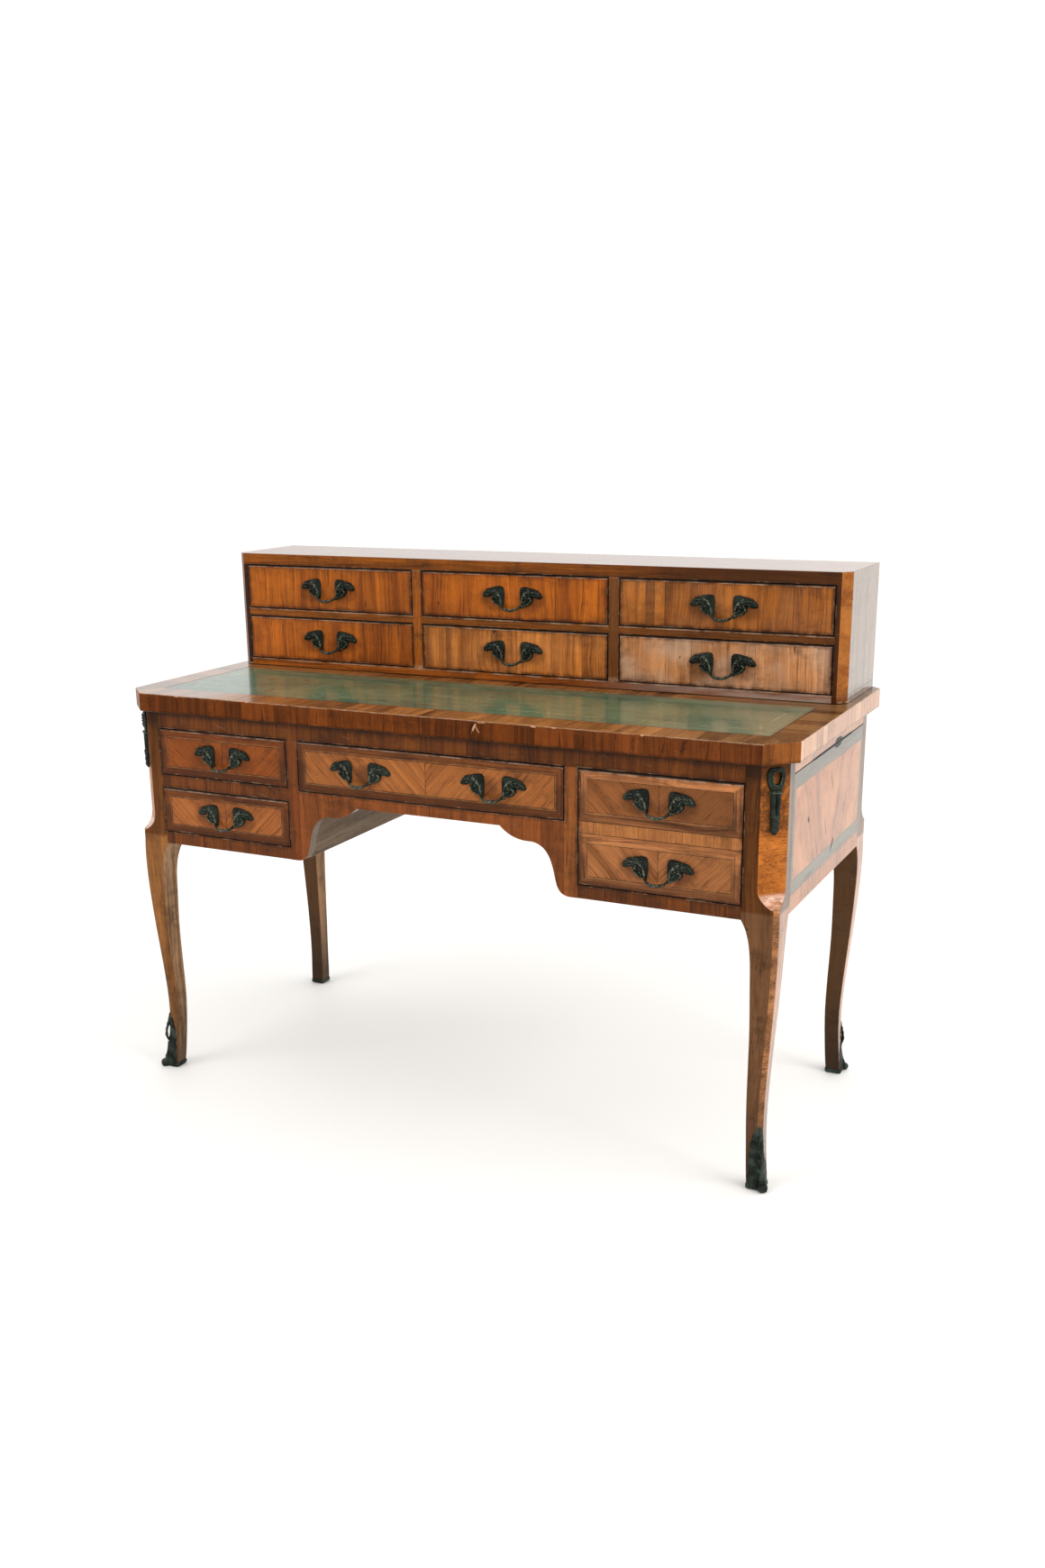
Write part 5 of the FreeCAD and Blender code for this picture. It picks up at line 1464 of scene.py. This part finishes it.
def raised(plan, levels):
    """Rows of points from rows in plan, each on its own level."""
    return np.concatenate([plan, np.broadcast_to(levels[:, None, None], (*plan.shape[:2], 1))], -1)


def outer_corner(extents, sx, sy):
    """The corner of each slice that faces away from the desk."""
    return np.stack([extents[:, 2 if sx > 0 else 0], extents[:, 3 if sy > 0 else 1]], -1)


def shoe_leaf(levels, extents, sx, sy):
    """The leaf on a leg's outer corner. Its surface runs by s from its edge on the end of the
    desk round the arris to its edge on the other face, and out of the wood by
    wall + vein exp(-(s / width)^2) + slanting ribs + a swelling low down."""
    corner = outer_corner(extents, sx, sy)
    limit = np.interp(levels, *np.array(LEAF_LIMIT).T)
    limit = limit * (1 + 0.05 * np.sin(levels * 2 * np.pi / SHOE_WAVE)) + BURIED
    limit = np.minimum(limit, extents[:, 2] - extents[:, 0] + BURIED)
    share = np.linspace(-1, 1, 37)
    on_end = np.interp(levels, *np.array(LEAF_SIDE).T)
    s = share * limit[:, None] * np.where(share < 0, on_end[:, None], 1)
    h = SHOE_ARRIS / math.sqrt(2)
    on_cant = np.abs(s) < h
    inset_x = np.where(on_cant, SHOE_ARRIS / 2 + s / math.sqrt(2),
                       np.clip(SHOE_ARRIS + s - h, 0, None) * (s > 0))
    inset_y = np.where(on_cant, SHOE_ARRIS / 2 - s / math.sqrt(2),
                       np.clip(SHOE_ARRIS - s - h, 0, None) * (s < 0))
    lean = np.clip((s / 0.009 + 1) / 2, 0, 1)
    normal = np.stack([(1 - lean) * sx, lean * sy], -1)
    normal = normal / np.linalg.norm(normal, axis=-1, keepdims=True)
    flat = corner[:, None] - np.stack([inset_x * sx, inset_y * sy], -1)
    vein = np.exp(-(s / 0.0030) ** 2) * (0.85 + 0.15 * np.sin(levels * 2 * np.pi / SHOE_WAVE))[:, None]
    ribs = 0.5 + 0.5 * np.cos((levels[:, None] - np.abs(s) * RIB_SLANT) * 2 * np.pi / RIB_PITCH)
    pierced = np.exp(-((levels[:, None] - LOOP_MIDDLE) / 0.011) ** 2) * np.exp(-(s / 0.0065) ** 2)
    edge = np.clip((1 - np.abs(share)) / 0.18, 0, 1)
    low = np.clip(1 - levels / 0.05, 0, 1)[:, None]
    tip = np.clip((SHOE_TIP - levels) / 0.02, 0.25, 1)[:, None]
    rise = 0.0009 + 0.0016 * vein + 0.0008 * ribs * edge + 0.0012 * low * np.exp(-(s / 0.010) ** 2)
    rise = rise * (0.4 + 0.6 * edge) * tip * (1 - 0.9 * pierced)
    outside = raised(flat + normal * rise[..., None], levels)
    inside = raised(flat - normal * BURIED, levels)[:, -2:0:-1]
    proud = np.clip(0.5 * vein + 0.5 * ribs * edge - 0.1, 0, 1) * np.ones_like(s)
    proud = np.concatenate([proud, 0 * s[:, 1:-1]], 1)
    return closed_skin(np.concatenate([outside, inside], 1), proud, (0, 0))


def shoe_loop(levels, extents, sx, sy, out, beside):
    """The open loop: oval rings of a rod whose middle stands off the arris by LOOP."""
    stand_off, level = through_points(LOOP, 30).T
    arris = outer_corner(extents, sx, sy) - np.array([sx, sy]) * SHOE_ARRIS / 2
    on_arris = np.stack([np.interp(level, levels, arris[:, k]) for k in (0, 1)], -1)
    angle = np.linspace(0, 2 * np.pi, 14, endpoint=False)
    girth = LOOP_RADIUS * (1 + 0.12 * np.sin(level * 2 * np.pi / 0.011))
    girth = girth * np.interp(level, *LOOP_GIRTH)
    ring = np.cos(angle)[:, None] * out + 1.2 * np.sin(angle)[:, None] * beside
    flat = (on_arris + stand_off[:, None] * out)[:, None] + girth[:, None, None] * ring
    return closed_skin(raised(flat, level), 0.35)


def shoe_rim(name):
    """Sole and rim: |x/a|^9 + |y/b|^9 = 1 round the foot, with a and b from the leg's slices."""
    level, grow = np.array(RIM).T
    slices = leg_slices(name, np.clip(level, FOOT_LEVEL, None))
    middle = (slices[:, :2] + slices[:, 2:]) / 2
    half = (slices[:, 2:] - slices[:, :2]) / 2 + (grow * SHOE_WALL)[:, None]
    angle = np.linspace(0, 2 * np.pi, 48, endpoint=False)
    radius = (np.abs(np.cos(angle)) ** 9 + np.abs(np.sin(angle)) ** 9) ** (-1 / 9)
    oval_plan = np.stack([radius * np.cos(angle), radius * np.sin(angle)], -1)
    return closed_skin(raised(middle[:, None] + half[:, None] * oval_plan, level), 0.25)


def shoe_toe(outer, out, beside):
    """The hollow front and its scroll: one profile, swept across the corner and drawn in
    towards its core at both ends."""
    turn_down = np.linspace(np.pi * 0.62, -np.pi / 2, 18)
    scroll = np.stack([0.0020 + 0.0068 * np.cos(turn_down), 0.0070 + 0.0070 * np.sin(turn_down)], -1)
    profile = np.vstack([through_points(TOE_HOLLOW, 12)[:-1], scroll, TOE_BACK])
    spread = np.sin(np.linspace(-1, 1, 17) * np.pi / 2)
    shrink = np.clip(1 - np.abs(spread) ** 5, 0.02, 1)[:, None] ** 0.4
    drawn = TOE_CORE + (profile - TOE_CORE) * (0.25 + 0.75 * shrink[..., None])
    curls = 1 + 0.10 * np.cos(4 * np.pi * spread)[:, None]
    drawn = TOE_CORE + (drawn - TOE_CORE) * curls[..., None] ** 0.5
    across = spread[:, None] * np.interp(profile[:, 1], *TOE_WIDTH)
    flat = outer + drawn[..., :1] * out + across[..., None] * beside
    return closed_skin(np.concatenate([flat, np.clip(drawn[..., 1:], 0, None)], -1), 0.38)


def shoe_pieces(name, sx, sy):
    """Leaf, loop, rim and toe of the shoe on one leg."""
    levels = np.linspace(FOOT_LEVEL, SHOE_TIP, 46)
    extents = leg_slices(name, levels)
    out, beside = np.array([sx, sy]) / math.sqrt(2), np.array([-sy, sx]) / math.sqrt(2)
    return [shoe_leaf(levels, extents, sx, sy), shoe_loop(levels, extents, sx, sy, out, beside),
            shoe_rim(name), shoe_toe(outer_corner(extents, sx, sy)[0], out, beside)]


FEET = ((-1, -1), (1, -1), (-1, 1), (1, 1))       # which way each leg's outer corner lies, as in LEGS
shoes = [piece for name, (sx, sy) in zip(LEGS, FEET) for piece in shoe_pieces(name, sx, sy)]
casting("shoes", shoes, "desk", "sabots", bronze)

# ------------------------------------------------------------------ finish
# The bounds of everything shown, leaving out the floor.
low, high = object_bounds()
